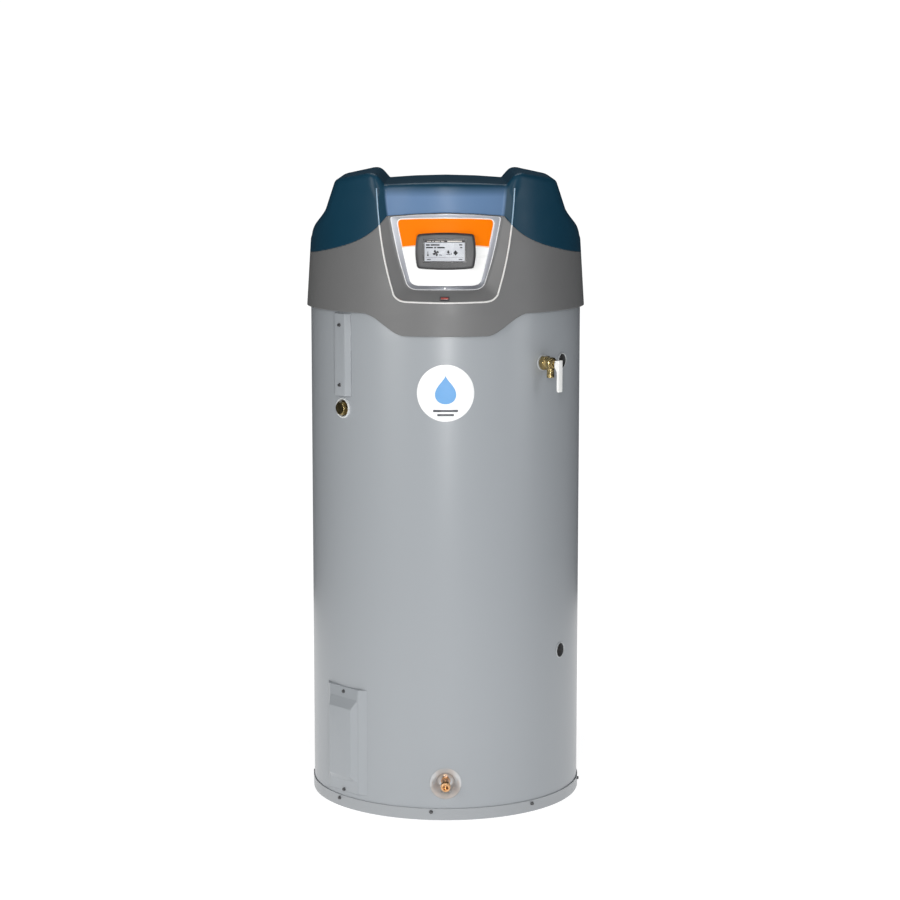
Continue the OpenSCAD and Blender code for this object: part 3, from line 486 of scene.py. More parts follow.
def smooth_max(a, b, k):
    """Larger of two distances, with the corner between them rounded over k."""
    h = np.clip(0.5 + 0.5 * (a - b) / k, 0, 1)
    return b + (a - b) * h + k * h * (1 - h)


def ramp(v, start, end):
    """Smooth step from 0 at start to 1 at end."""
    t = np.clip((v - start) / (end - start), 0, 1)
    return t * t * (3 - 2 * t)


TOP_HALF = ([(340, 1000), (340, 1262)] + bez((306, 1280), (298, 1304), (274, 1320), (264, 1342))
            + bez((245, 1396), (243, 1404), (236, 1410), (222, 1412), 8)
            + bez((176, 1421), (150, 1428), (146, 1416), (131, 1399)) + [(70, 1402.5), (0, 1404)])
CREST_HALF = (bez((150, 1440), (148, 1330), (138, 1250), (116, 1177), 32)
              + bez((112, 1163), (105, 1152), (96, 1149), (82, 1148.5), 12) + [(0, 1147)])
FLOOR_HALF = (bez((129, 1440), (128, 1330), (112, 1270), (91, 1200), 32)
              + bez((87, 1186), (80, 1174), (72, 1171.5), (56, 1171.5), 12) + [(0, 1171)])
COLOUR_HALF = ([(340, 1232), (304, 1241)] + bez((304, 1241), (200, 1268), (168, 1280), (126, 1331), 24)
               + [(60, 1336.5), (0, 1338.5)])


def closed(half):
    """Closed outline from its right half, which ends on the centre line."""
    return np.array(list(half) + [(-x, z) for x, z in reversed(half[:-1])], float)


SILHOUETTE = closed(TOP_HALF)
CREST = closed([(150, 1520)] + CREST_HALF)
FLOOR = closed([(129, 1520)] + FLOOR_HALF)


def shroud_radius(z):
    return np.interp(z, [LIP_Z, 1280, 1440], [LIP_R, 304, 300])


def front_distances(points):
    """Distances of points seen from the front to the shroud's three outlines."""
    return [outline_distance(points, outline) for outline in (SILHOUETTE, CREST, FLOOR)]


def shroud_field(p, front=None):
    """Signed distance, roughly, of the shroud's outside; negative inside."""
    x, y, z = p.T
    edge, crest, floor = front or front_distances(p[:, [0, 2]])
    r, outer = np.hypot(x, y), shroud_radius(z)
    body = smooth_max(r - outer, edge, EDGE_ROUND)
    depth = np.clip((outer - r) / (outer - RECESS_R), 0, 1.3)
    wall = crest * (1 - depth) + floor * depth
    hollow = np.maximum(smooth_max(wall * 0.75, RECESS_R - r, FLOOR_ROUND), y - RECESS_BACK)
    return smooth_max(body, -hollow, 2.0 + 12.0 * ramp(z, 1360, 1402))


def skin(field, low, high, pitch):
    """Points and quads of a field's zero surface: one point per crossed cell, pulled onto the surface."""
    axes = [np.arange(a, b + pitch, pitch) for a, b in zip(low, high)]
    shape = [len(a) for a in axes]
    inside = np.empty(shape, bool)
    y, z = (grid.ravel() for grid in np.meshgrid(axes[1], axes[2], indexing="ij"))
    for i, x in enumerate(axes[0]):
        column = front_distances(np.stack([np.full(shape[2], x), axes[2]], 1))
        sheet = np.stack([np.full(y.size, x), y, z], 1)
        inside[i] = (field(sheet, [np.tile(d, shape[1]) for d in column]) < 0).reshape(shape[1:])
    corners = [inside[i:shape[0] - 1 + i, j:shape[1] - 1 + j, k:shape[2] - 1 + k]
               for i in (0, 1) for j in (0, 1) for k in (0, 1)]
    active = np.logical_or.reduce(corners) & ~np.logical_and.reduce(corners)
    index = np.full(active.shape, -1)
    index[active] = np.arange(active.sum())
    points = (np.argwhere(active) + 0.5) * pitch + np.array(low)
    quads = []
    for axis in range(3):
        change = np.argwhere(np.diff(inside.astype(np.int8), axis=axis) != 0)
        others = [a for a in range(3) if a != axis]
        keep = np.all([(change[:, a] > 0) & (change[:, a] < shape[a] - 1) for a in others], axis=0)
        change = change[keep]
        ring = []
        for du, dv in ((-1, -1), (0, -1), (0, 0), (-1, 0)):
            cell = change.copy()
            cell[:, others[0]] += du
            cell[:, others[1]] += dv
            ring.append(index[tuple(cell.T)])
        quad = np.stack(ring, 1)
        out = inside[tuple(change.T)] ^ (axis == 1)
        quad[~out] = quad[~out][:, ::-1]
        quads.append(quad)
    for _ in range(4):
        points = pulled(field, points)
    return points, np.concatenate(quads)


def pulled(field, points):
    """Points moved down the field's slope onto its zero surface."""
    value = field(points)
    slope = np.stack([(field(points + step) - field(points - step)) / 0.4 for step in np.eye(3) * 0.2], 1)
    size = np.maximum((slope ** 2).sum(1), 0.2)
    return points - slope * (value / size)[:, None]


def cut(points, faces, value):
    """The part of a mesh where value is positive, cut along the zero line."""
    points = [tuple(p) for p in points]
    value = np.where(np.abs(value) < 0.02, 0.0, value)
    state = np.sign(value)
    kept, made = [], {}
    for face in faces:
        signs = [state[i] for i in face]
        if min(signs) >= 0:
            if max(signs) > 0:
                kept.append(tuple(face))
            continue
        if max(signs) <= 0:
            continue
        out = []
        for a, b in zip(face, list(face[1:]) + [face[0]]):
            if state[a] >= 0:
                out.append(a)
            if state[a] * state[b] < 0:
                key = (min(a, b), max(a, b))
                if key not in made:
                    t = value[a] / (value[a] - value[b])
                    made[key] = len(points)
                    points.append(tuple(p + (q - p) * t for p, q in zip(points[a], points[b])))
                out.append(made[key])
        if len(out) >= 3:
            kept.append(tuple(out))
    used = sorted({i for face in kept for i in face})
    renumber = {old: new for new, old in enumerate(used)}
    return [points[i] for i in used], [tuple(renumber[i] for i in face) for face in kept]


def lower_edge(p):
    """Height over the shroud's lower edge, which drops to an apron at the front."""
    drop = APRON_DROP * (1 - ramp(np.abs(p[:, 0]), 88, 180)) * (p[:, 1] < 0)
    return p[:, 2] - (LIP_Z - drop)


def over_colour_line(p):
    """Height over the line where the shroud turns from grey to blue."""
    half = np.array(sorted(COLOUR_HALF))
    line = np.where(p[:, 1] < 0, np.interp(np.abs(p[:, 0]), half[:, 0], half[:, 1]), 1241.0)
    return p[:, 2] - line


def beside_display(x, z):
    """Distance outside the fascia's opening for the display."""
    return np.maximum(np.abs(x) - DISPLAY_HOLE[0], np.abs(z - DISPLAY_Z) - DISPLAY_HOLE[1])


def outside_holes(p):
    """Distance outside the nearest opening: vent and gas pipe behind, display and rocker in front."""
    x, y, z = p.T
    vent = np.hypot(x - INTAKE[0], z - INTAKE[1]) - VENT_HOLE_R
    gas = np.hypot(x - GAS[0], z - GAS[1]) - (GAS_R + 1.5)
    rocker = np.maximum(np.abs(x - ROCKER[0]) - ROCKER_HOLE[0], np.abs(z - ROCKER[1]) - ROCKER_HOLE[1])
    behind, in_front = np.minimum(vent, gas), np.minimum(beside_display(x, z), rocker)
    return np.minimum(np.where(y > 0, behind, 99), np.where(y < 0, in_front, 99))


def crest_path(reach=1398.0):
    """The recess's crest in space, from the left ear down and up to the right ear."""
    half = [p for p in CREST_HALF if p[1] < reach]
    across = resample([(-x, z) for x, z in half] + list(reversed(half[:-1])), 220)
    return [(x, -sqrt(shroud_radius(z) ** 2 - x * x), z) for x, z in across]


def build_shroud():
    pitch = 3.4
    points, quads = skin(shroud_field, (-322, -322, 1064), (322, 322, 1430), pitch)
    points, faces = cut(points, quads.tolist(), lower_edge(points))
    points, faces = cut(points, faces, outside_holes(np.array(points)))
    for name, above, node in (("shroud_shell_lower", False, "shroud_lower"),
                              ("shroud_shell_upper", True, "shroud_upper")):
        value = over_colour_line(np.array(points))
        half = cut(points, faces, (value if above else -value) - 0.25)
        slot = "shroud_blue" if above else "shroud_grey"
        shell = piece(name, half, slot, (node,), sharp=60)
        wall = shell.modifiers.new("wall", "SOLIDIFY")
        wall.thickness = WALL * MM
        wall.offset = -1
    # Painted highlight: paler beads along the crest stand in for the light the rounded ridge catches.
    path = crest_path()
    colours = over_colour_line(np.array(path))
    low = [p for p, c in zip(path, colours) if c <= 0]
    piece("crest_highlight_lower", sweep(low, 1.9), "shroud_grey", look=CREST_HIGHLIGHT_PALE)
    for side, name in ((-1, "crest_highlight_left"), (1, "crest_highlight_right")):
        up = [p for p, c in zip(path, colours) if c >= -2 and p[0] * side > 0]
        piece(name, sweep(up, 1.5), "shroud_blue", look=CREST_HIGHLIGHT_BLUE)


# --- fascia and display
def chain(*parts):
    """Chains of points joined end to end, each starting where the last one ends."""
    out = list(parts[0])
    for more in parts[1:]:
        out += more[1:]
    return out


def flat(outline):
    return [(x, z, 0.0) for x, z in outline], [tuple(range(len(outline)))]


def rect(x0, z0, x1, z1):
    return flat([(x0, z0), (x1, z0), (x1, z1), (x0, z1)])


def stack(loops):
    """Loops of (x, z) given with a height each, as (x, z, height) loops."""
    return [[(x, z, lift) for x, z in loop] for loop, lift in loops]


FRAME_OUT = chain(
    resample([(0, 1336.6), (62, 1334.6), (115, 1329.4)], 24),
    resample(bez((115, 1329.4), (119, 1329), (119.4, 1327), (118.8, 1322)), 8),
    resample(bez((118.8, 1322), (114.6, 1298), (103, 1240), (93, 1212.4)), 26),
    resample([(93, 1212.4)] + bez((85.2, 1186.5), (79.3, 1174.8), (69.6, 1172.8), (56, 1172.8)), 16),
    resample([(56, 1172.8), (0, 1172.8)], 12))
BAND_FOOT = 1272
FRAME_SIDE = bez((104.3, 1313), (100, 1290), (88, 1235), (80, 1203))
FRAME_IN = chain(
    resample([(0, 1328.7), (55, 1327.8), (94, 1325.9)], 24),
    resample(bez((94, 1325.9), (101, 1325.4), (105.2, 1322), (104.3, 1313)), 8),
    resample(FRAME_SIDE, 26),
    resample([(80, 1203)] + bez((77, 1192), (73, 1184), (64, 1182), (54, 1182)), 16),
    resample([(54, 1182), (0, 1182)], 12))


def band_outline(margin, foot):
    """Orange band of the label: margin inside the frame, its lower edge foot below an arc."""
    top = [(0, 1328.7 - margin), (55, 1327.8 - margin)]
    corner = bez((94, 1325.9 - margin), (100, 1325.4 - margin), (104.2 - margin, 1322),
                 (104.3 - margin, 1313), 8)
    side = [(x - margin, z) for x, z in FRAME_SIDE if z > BAND_FOOT]
    bottom = [(x, BAND_FOOT - foot - 6.5 * (x / 94) ** 2) for x in (95.3 - margin, 70, 40, 0)]
    return mirrored(top + corner + side[1:] + bottom)


def printed(outline, lift):
    """Printed sheet on the fascia, open behind the display."""
    points, faces = fill(outline, 7)
    x, z, _ = np.array(points).T
    return wrapped(cut(points, faces, beside_display(x, z)), RECESS_R + lift)


def build_fascia():
    outer, inner = mirrored(FRAME_OUT), mirrored(FRAME_IN)
    lip = ((0.0, 0.3), (0.0, 4.2), (0.02, 4.7), (0.06, 5.0), (0.11, 5.1), (0.15, 5.0), (0.17, 4.8))
    bevel = ((0.16, 4.2), (0.17, 4.8), (0.22, 4.75), (0.92, 3.5), (0.98, 3.3), (1.0, 3.05), (1.0, 2.0))

    def between(t, lift):
        return [(a + (c - a) * t, b + (d - b) * t, lift) for (a, b), (c, d) in zip(outer, inner)]

    for name, steps, nodes, look in (("fascia_frame_trim", bevel, ("fascia_frame",), None),
                                     ("fascia_frame_lip", lip, (), LIP_PALE)):
        band = rings([between(t, lift) for t, lift in steps])
        piece(name, wrapped(band, RECESS_R), "frame_silver", nodes, look, sharp=50)
    pip = lathe([(2.0, 0), (1.9, 0.5), (1.3, 0.8)], 24, last=True)
    pip = wrapped(moved(pip, Matrix.Translation((-1.5, 1176.8, 4.9))), RECESS_R)
    piece("fascia_pip", pip, "frame_silver", look=LOOKS["label_print"])
    whole = mirrored([(x * 1.002, z) for x, z in FRAME_IN])
    piece("label_base", printed(whole, 2.5), "label_print", ("fascia_label",))
    piece("label_cream_line", printed(band_outline(0.9, 2.6), 2.62), "label_print", look=CREAM)
    piece("label_orange_band", printed(band_outline(2.2, 0.0), 2.74), "label_print", look=ORANGE)


def build_bezel():
    def shell(inset, lift):
        return barrel(65 - inset, 40 - inset, 7.5 - inset * 0.6, 3), lift

    def window(w, h, r, lift):
        return [(x + LENS[0], z + LENS[1] - DISPLAY_Z) for x, z in barrel(w, h, r)], lift

    centre = (0, DISPLAY_Z)
    # Painted shade: the bezel's sides and outer rounding get a near-black finish for the shade round them.
    rim = rings(stack([shell(0, -8.5), shell(0, -3.6), shell(0.5, -2.4), shell(1.4, -1.5), shell(3.9, -1.1)]))
    piece("display_bezel_rim", upright(rim, DISPLAY_Y, centre), "bezel_grey", look=PAINTED_SHADE_AND_MASK_BLACK, sharp=50)
    face = rings(stack([shell(3.4, -2.0), shell(3.4, -1.0), shell(3.8, -0.5), shell(4.6, -0.12),
                        shell(5.8, 0.0), window(46.8, 25.8, 1.6, 0.0), window(46.4, 25.4, 1.3, -0.4),
                        window(46.4, 25.4, 1.3, -3.4)]))
    bezel = piece("display_bezel_face", upright(face, DISPLAY_Y, centre), "bezel_grey",
                  ("display_bezel",), sharp=40)
    key_slot = rings(stack([(barrel(6.3, 2.8, 1.5), lift) for lift in (-3, 3)]), True, True)
    slots = [moved(key_slot, Matrix.Translation((KEY_PITCH * i, KEY_Z - DISPLAY_Z, 0))) for i in range(-2, 3)]
    carve(bezel, upright(join(*slots), DISPLAY_Y, centre))


def build_screen():
    mask = rings(stack([(barrel(46.3, 25.3, 1.2), 0), (barrel(43.1, 22.3, 0.6), 0)]))
    mark = [rect(x, 19.1, x + w, 20.7) for x, w in ((-38, 9), (-27, 4), (-21, 11), (-8, 7))]
    mark.append(rect(6, 18.6, 37, 21.2))
    ink = [rect(-40, -14.6, 40, -14.2)] + [rect(x - 4, -19.6, x + 4, -17.8) for x in (-34, 34)]
    for z, words, right in ((12.3, ((-40, 8), (-30, 19)), 7), (6.6, ((-40, 15), (-23, 5), (-16, 16)), 5)):
        ink += [rect(x, z - 1.5, x + w, z + 1.5) for x, w in words]
        ink.append(rect(38 - right, z - 1.3, 38, z + 1.3))
    for name, shape, depth, look in (("display_mask", mask, 2.62, PAINTED_SHADE_AND_MASK_BLACK),
                                     ("lcd_header_strip", rect(-43.2, 17.4, 43.2, 22.4), 2.9, LCD_HEADER),
                                     ("lcd_header_marks", join(*mark), 2.82, LCD_MARK),
                                     ("lcd_symbols", join(*ink, *lcd_icons()), 2.86, LCD_INK)):
        piece(name, upright(shape, DISPLAY_Y + depth, LENS), "lcd", look=look)


def lcd_icons():
    """Generic symbols: thermometer, fan, burner and valve."""
    shapes = [flat(circle(1.9, 19, (-36, -9.6))), rect(-36.7, -8.5, -35.3, -1.5)]
    for turn in range(4):
        blade = chain(bez((0.5, 0.9), (3.6, 4.4), (6.8, 3.0), (7.2, -1.4), 8),
                      bez((7.2, -1.4), (4.8, -2.4), (2.0, -1.6), (0.5, -0.5), 8))
        c, s = cos(turn * pi / 2 + 0.4), sin(turn * pi / 2 + 0.4)
        shapes.append(flat([(-19 + x * c - z * s, -5 + x * s + z * c) for x, z in blade]))
    shapes += [rect(-11.0, -10.6, -9.2, -7.4), rect(-8.2, -10.6, -6.4, -8.4)]
    flame = chain(bez((8, 1.2), (4.6, -2.2), (4.0, -5.4), (8, -6.4), 8),
                  bez((8, -6.4), (12, -5.4), (10.6, -2.2), (8, 1.2), 8))[:-1]
    shapes += [flat(flame), rect(3.6, -8.8, 12.4, -7.6), rect(13.6, -8.8, 14.8, -5.0)]
    shapes.append(flat([(23.5, -10.6), (28.7, -4.8), (23.5, 1), (18.3, -4.8)]))
    return shapes


def carve(obj, shape):
    """Cuts a closed shape out of an object and keeps the result as its mesh."""
    cutter = placed("cutter", built("cutter", shape))
    knife = obj.modifiers.new("knife", "BOOLEAN")
    knife.object, knife.operation, knife.solver = cutter, "DIFFERENCE", "EXACT"
    bpy.context.view_layer.update()
    done = bpy.data.meshes.new_from_object(obj.evaluated_get(bpy.context.evaluated_depsgraph_get()))
    obj.modifiers.remove(knife)
    obj.data = done
    bpy.data.objects.remove(cutter)


# --- jacket, base and covers
def on_jacket(u, lift):
    """Distance from the jacket's tangent plane to a height over the round jacket at u to the side."""
    return sqrt(JACKET_R ** 2 - u * u) - JACKET_R + lift


def build_jacket():
    rows = [2, 27, 150, 330, 520, 700, 880, 1060, LID_Z - 1.2]
    profile = [(JACKET_R, h) for h in rows]
    profile += [(JACKET_R - inset, LID_Z - drop) for inset, drop in ((0.3, 0.4), (0.6, 0), (1.2, 0.4))]
    profile += [(JACKET_R - 1.2, h) for h in reversed(rows)]
    jacket = piece("jacket_wrap", lathe(profile + profile[:1], 480), "jacket_paint", ("jacket",))
    holes = [(0, DRAIN_Z, 35.3), (RELIEF_A, RELIEF_Z, 14.8), (PORT_A, HOT_Z, 17.3), (PORT_A, COLD_Z, 17.3),
             (LEFT_A, PLUG_Z, 20.5), (180, EXHAUST_Z, 51.0)]
    bores = [moved(lathe([(r, -30), (r, 30)], 96, True, True), fitting(a, z)) for a, z, r in holes]
    carve(jacket, join(*bores))
    jacket.data.set_sharp_from_angle(angle=radians(32))
    lap = [(-8, 0.1), (-8, 0.8), (-7.4, 1.2), (7.4, 1.2), (8, 0.8), (8, 0.1)]
    strip = rings([[(u, z, on_jacket(u, lift)) for u, lift in lap] for z in (28, 1117)], True, True)
    piece("jacket_seam", moved(strip, fitting(180, 0)), "jacket_paint")


def build_base():
    profile = [(296, 0.9), (303, 0.1), (305.4, 0.15), (306.6, 0.7), (BAND_R, 1.7), (BAND_R, 25.0),
               (307.35, 25.7), (307.35, 26.4), (BAND_R, 26.9), (306.4, BAND_H), (305.8, 26.7),
               (305.5, 26.0), (305.4, 2.0), (296, 2.0)]
    piece("base_band", lathe(profile, 320, first=True), "base_paint", ("base_pan",))


def screw_head(place):
    washer = lathe([(4.1, -0.4), (4.1, 0.7), (3.8, 1.1), (3.4, 1.3)], 32, last=True)
    head = nut(6.0, 1.2, 4.0, 0.6, 48)
    return moved(join(washer, head, lathe([(2, -4), (2, 0.5)], 16, first=True)), place)


def build_screws():
    places = [fitting(a, SCREW_Z, BAND_R) for a in SCREW_A]
    places += [fitting(LEFT_A, z, JACKET_R + 10) for z in RACEWAY_SCREWS]
    places += [fitting(LEFT_A, z, JACKET_R + 4) for z in COVER_SCREWS]
    heads = join(*[screw_head(place) for place in places])
    piece("case_screw_heads", heads, "screw_black", ("case_screws",), sharp=28)


def build_raceway():
    half = [(27.0, None), (27.0, 0.9), (26.4, 1.5), (18.9, 8.9), (17.9, 9.7), (16.6, 10.0), (9, 10.0),
            (0, 10.0)]

    def station(z, shrink):
        right = [(u - shrink, z, (on_jacket(u, 0.1) if o is None else max(o - shrink, 0.2))) for u, o in half]
        return right + [(-u, z, o) for u, z, o in reversed(right[:-1])]

    z0, z1 = RACEWAY_Z
    stations = [(z0, 1.4), (z0 + 0.4, 0.5), (z0 + 1.4, 0.0), ((z0 + z1) / 2, 0.0), (z1 - 1.4, 0.0),
                (z1 - 0.4, 0.5), (z1, 1.4)]
    cover = rings([station(z, shrink) for z, shrink in stations], True, True)
    piece("raceway_channel", moved(cover, fitting(LEFT_A, 0)), "jacket_paint", ("raceway_cover",), sharp=40)


def build_access_cover():
    middle, half = sum(COVER_Z) / 2, (COVER_Z[1] - COVER_Z[0]) / 2

    def loop(w, h, r, lift, shift=0.0):
        return [(x, z + middle + shift, on_jacket(x, 0.2) if lift is None else lift)
                for x, z in barrel(w, h, r)]

    flange = [loop(67.2, half - 2.4, 2, None), loop(51.4, half - 3.3, 2, 3.1), loop(50.2, half - 3.7, 2, 3.7),
              loop(48.9, half - 4.6, 2, 4.0)]
    panel = [loop(47.4, 95.4, 4, 4.0, 0.2), loop(46.5, 94.6, 4, 4.4, 0.2), loop(37.9, 79.3, 3, 15.6, -3.6),
             loop(37.2, 78.5, 3, 16.2, -3.6), loop(36.2, 77.5, 3, 16.4, -3.6)]
    cover = moved(rings(flange + panel, False, True), fitting(LEFT_A, 0))
    piece("access_panel", cover, "jacket_paint", ("access_cover",), sharp=34)


def build_badge():
    centre = (0, BADGE_Z)
    steps = [(62, 0.05), (62, 0.55), (61.7, 0.8), (61.0, 0.9)] + [(r, 0.9) for r in range(55, 0, -6)]
    disc = wrapped(lathe(steps, 120, last=True), JACKET_R, centre)
    piece("badge_disc", disc, "badge_print", ("badge",), sharp=60)
    drop = mirrored(chain(bez((0, 38), (4, 26), (23, 14), (23, -3)),
                          bez((23, -3), (23, -16), (13, -24), (0, -24))))
    bars = [[(-w, z), (w, z), (w, z + 5), (-w, z + 5)] for w, z in ((27, -41), (18, -50))]
    for name, outlines, look in (("badge_drop", [drop], DROP_BLUE), ("badge_bars", bars, BADGE_GREY)):
        shape = join(*[fill(outline, 5) for outline in outlines])
        piece(name, wrapped(shape, JACKET_R + 1.0, centre), "badge_print", look=look)


# --- fittings
TURN_DOWN = Matrix.Rotation(radians(90), 4, "X")


def build_plug():
    place = fitting(LEFT_A, PLUG_Z)
    ring = lathe([(22.5, -1.3), (22.5, 2.7), (22.2, 3.5), (21.4, 4.0), (20.0, 4.0), (19.3, 3.6),
                  (19.0, 2.9), (19.0, -9), (20.2, -9)])
    piece("plug_ring", moved(ring, place), "bezel_ring", ("plug_bezel",))
    plug = join(nut(27, -1, 11, 1.8), lathe([(6.5, 11.0), (6.1, 10.5), (5.5, 10.3)], 48, last=True),
                lathe([(9, -177), (9, -53), (16, -54), (16, -1.6), (15.4, -1.0), (8, -1.0)], first=True))
    piece("anode_plug_head", moved(plug, place), "brass", ("anode_plug",), sharp=25)


def build_ports():
    rim = lathe([(18.1, -0.8), (18.1, 1.2), (17.7, 1.8), (17.0, 2.1), (16.2, 1.9), (15.6, 1.2), (15.5, 0.2)])
    sleeve = lathe([(15.5, 0.3), (15.5, -21.5), (16.0, -22), (17, -22), (17, -1)])
    bore = lathe([(11, -54), (11, -45), (13.3, -45)], first=True)
    nose = lathe([(12.4, -24.4), (13.0, -23.4), (13.6, -23), (14.6, -23), (15.2, -23.6), (15.2, -54)])
    relief_rim = lathe([(17.5, -0.7), (17.5, 1.2), (17.0, 1.8), (15.4, 1.8), (14.0, 1.5), (13.6, 0.8),
                        (13.6, -1)])
    places = [fitting(PORT_A, z) for z in (HOT_Z, COLD_Z)]
    rims, sleeves, sockets = ([moved(shape, place) for place in places]
                              for shape in (rim, sleeve, join(bore, thread(13.3, -45, -24), nose)))
    rims.append(moved(relief_rim, fitting(RELIEF_A, RELIEF_Z)))
    piece("port_rims", join(*rims), "bezel_ring", ("port_grommets",), RIM_GREY)
    # Painted shade: the sleeves are near-black to darken the deep port holes.
    piece("port_sleeves", join(*sleeves), "bezel_ring", look=PAINTED_SHADE_SLEEVE)
    piece("port_sockets", join(*sockets), "brass", ("water_ports",), sharp=28)


def build_relief_valve():
    place = fitting(RELIEF_A, RELIEF_Z)
    down = Matrix.Translation((0, 0, 23)) @ TURN_DOWN
    knurl = polar(lambda a, h: 13.7 - 0.5 * abs(sin(16 * a + h)) * abs(sin(16 * a - h)),
                  [12.8 + 0.3 * i for i in range(25)], 288, False, False)
    bonnet = lathe([(13.2, 19.9), (12.7, 20.3), (12.7, 21.1), (13.6, 21.6), (13.6, 28.6), (12.6, 29.8),
                    (10.4, 30.2), (10, 30.8), (10, 35), (9.2, 36), (6.4, 36.2), (5.5, 36.6), (5.5, 48.2),
                    (5.0, 49.0), (2.4, 49.0), (2.4, 40)])
    outlet = lathe([(5, 0), (5, 11), (6.6, 11), (6.6, 30.2), (7.2, 31), (8.0, 31), (8.5, 30.4), (8.5, 24),
                    (8.1, 23.4), (8.1, 16.4), (8.5, 15.8), (8.5, 4)], first=True)
    body = join(lathe([(13.35, -54), (13.35, 3)], first=True), nut(29, 2, 13, 1.6, both=True), knurl,
                bonnet, moved(outlet, down))
    piece("relief_valve_body", moved(body, place), "brass", ("tp_valve_body",), sharp=28)
    stem = lathe([(7, 16), (7, 20), (2.25, 20.2), (2.25, 49.6), (1.9, 50.2), (1.2, 50.4)], 48, True, True)
    piece("relief_valve_stem", moved(stem, place), "brass", ("tp_valve_stem",), body="relief_stem")


def channel(v, w, foot):
    """U-shaped section of the relief lever: w half its width, foot where its cheeks end."""
    wall, r, top = 1.2, 1.6, 53.0
    bend = [(w - r + r * sin(a), top - r + r * cos(a)) for a in np.linspace(pi / 2, 0, 5)]
    right = [(w, foot)] + bend
    inside = [(w - wall, foot), (w - wall, top - 2.6), (w - 2.4, top - wall)]
    out = right + [(-u, lift) for u, lift in reversed(right)]
    back = [(-u, lift) for u, lift in inside] + list(reversed(inside))
    return [(u, v, lift) for u, lift in out + back]


def build_relief_lever():
    stations = [(8, 6.4, 45.5), (7.2, 7.2, 43.0), (5, 7.2, 41.6), (0, 7.2, 41.2), (-6, 7.2, 41.4),
                (-9, 7.2, 42.6), (-11.5, 7.2, 44.8), (-14.5, 7.2, 46.9), (-20, 7.2, 48.2), (-30, 7.2, 48.5),
                (-57, 7.2, 48.5), (-60, 6.9, 49.0), (-60.8, 6.5, 50.0), (-61, 6.0, 50.9)]
    lever = moved(rings([channel(*station) for station in stations], True, True), fitting(RELIEF_A, RELIEF_Z))
    piece("relief_lever_stamping", lever, "lever_white", ("tp_valve_lever",), body="relief_lever", sharp=38)


def dish_ring(r, low, high, lift=0.0):
    """Loop of the drain dish: low and high are how far it has risen at the foot and at the hooded top."""
    loop = []
    for x, y in circle(r, 120):
        share = low + (high - low) * float(ramp(y / r, -0.3, 0.7))
        rise = share * (on_jacket(x, 0) + DISH_DEPTH)
        loop.append((x, y, rise - DISH_DEPTH + lift))
    return loop


def build_drain():
    place = fitting(0, DRAIN_Z)
    profile = [(9.0, 0.0, 0.0), (15.5, 0.0, 0.0), (17.5, 0.03, 0.05), (19.0, 0.12, 0.35), (20.5, 0.24, 0.58),
               (23, 0.42, 0.70), (26, 0.6, 0.77), (29, 0.75, 0.84), (32, 0.88, 0.91), (34.6, 0.965, 0.965)]
    edge = [(34.6, 0.965, 0.965), (35.6, 1, 1, 0.1), (36.4, 1, 1, 0.08), (36.8, 1, 1, -0.2)]
    dish, lip = (moved(rings([dish_ring(*step) for step in steps]), place) for steps in (profile, edge))
    piece("drain_dish", dish, "jacket_paint", ("drain_recess",), DISH, sharp=60)
    piece("drain_dish_lip", lip, "jacket_paint", sharp=60)
    spindle = moved(lathe([(5, 5), (5, 14.4), (4.5, 15), (2.65, 15), (2.65, 6)], 48),
                    Matrix.Translation((0, 0, -9)) @ TURN_DOWN)
    nose = lathe([(10.1, 29.6), (9.9, 30.6), (9.2, 31), (6.9, 31), (6.1, 30.4), (6, 29.6), (6, 10), (4, 9),
                  (4, -40)])
    body = join(lathe([(8.5, -55), (8.5, -26)], first=True), nut(19, -26.5, -18.5, 1.3, both=True),
                lathe([(8.0, -18.6), (8.6, -17.8), (8.6, 15.4), (9.6, 16.2)]),
                thread(10.65, 16, 29.8, first=True), nose, spindle)
    piece("drain_valve_body", moved(body, place), "brass", ("drain_body",), RED_BRASS, sharp=28)


def build_rear_fittings():
    lip = [(50, 329.4), (50.5, 330.2), (50.5, 333.6), (49.9, 334.7), (49, 335), (46.2, 335), (45.1, 334.4),
           (VENT_R, 333)]
    intake = lathe([(46, 110), (46, 250), (50, 250.5)] + lip + [(VENT_R, 275), (41, 275), (41, 110)])
    piece("intake_socket", moved(intake, rear(*INTAKE)), "vent_plastic", ("intake_collar",))
    exhaust = lathe([(30, 257.5), (30, 267), (50, 267.5)] + lip + [(VENT_R, 281), (22.3, 281), (22.3, 257.5)])
    piece("exhaust_socket", moved(exhaust, rear(0, EXHAUST_Z)), "vent_plastic", ("exhaust_collar",))
    barbs = [(4.5, 0), (5.9, 0)] + [p for i in range(4) for p in ((6.9, 2.5 + 5 * i), (6.1, 5 + 5 * i))]
    barb = lathe(barbs + [(6.9, 23.6), (9.6, 24), (10, 24.5), (10, 26), (9.6, 26.5), (6.9, 26.6), (6.9, 33),
                          (4.5, 33), (4.5, 0)], 64)
    piece("condensate_barb", moved(barb, Matrix.Translation((0, 323, 112))), "vent_plastic",
          ("condensate_drain",))
    mouth = [(GAS_R - inset, h) for inset, h in ((0.9, 334), (1.3, 335), (2.5, 335), (2.9, 334), (2.9, 150))]
    pipe = join(lathe([(GAS_R - 1, 130), (GAS_R - 1, 300), (GAS_R, 300.6), (GAS_R, 313)], first=True),
                thread(GAS_R, 313, 334), lathe(mouth))
    piece("gas_inlet_nipple", moved(pipe, rear(*GAS)), "black_pipe", ("gas_inlet_pipe",), sharp=28)


build_shroud()
build_fascia()
build_bezel()
build_screen()
build_jacket()
build_base()
build_screws()
build_raceway()
build_access_cover()
build_badge()
build_plug()
build_ports()
build_relief_valve()
build_relief_lever()
build_drain()
build_rear_fittings()


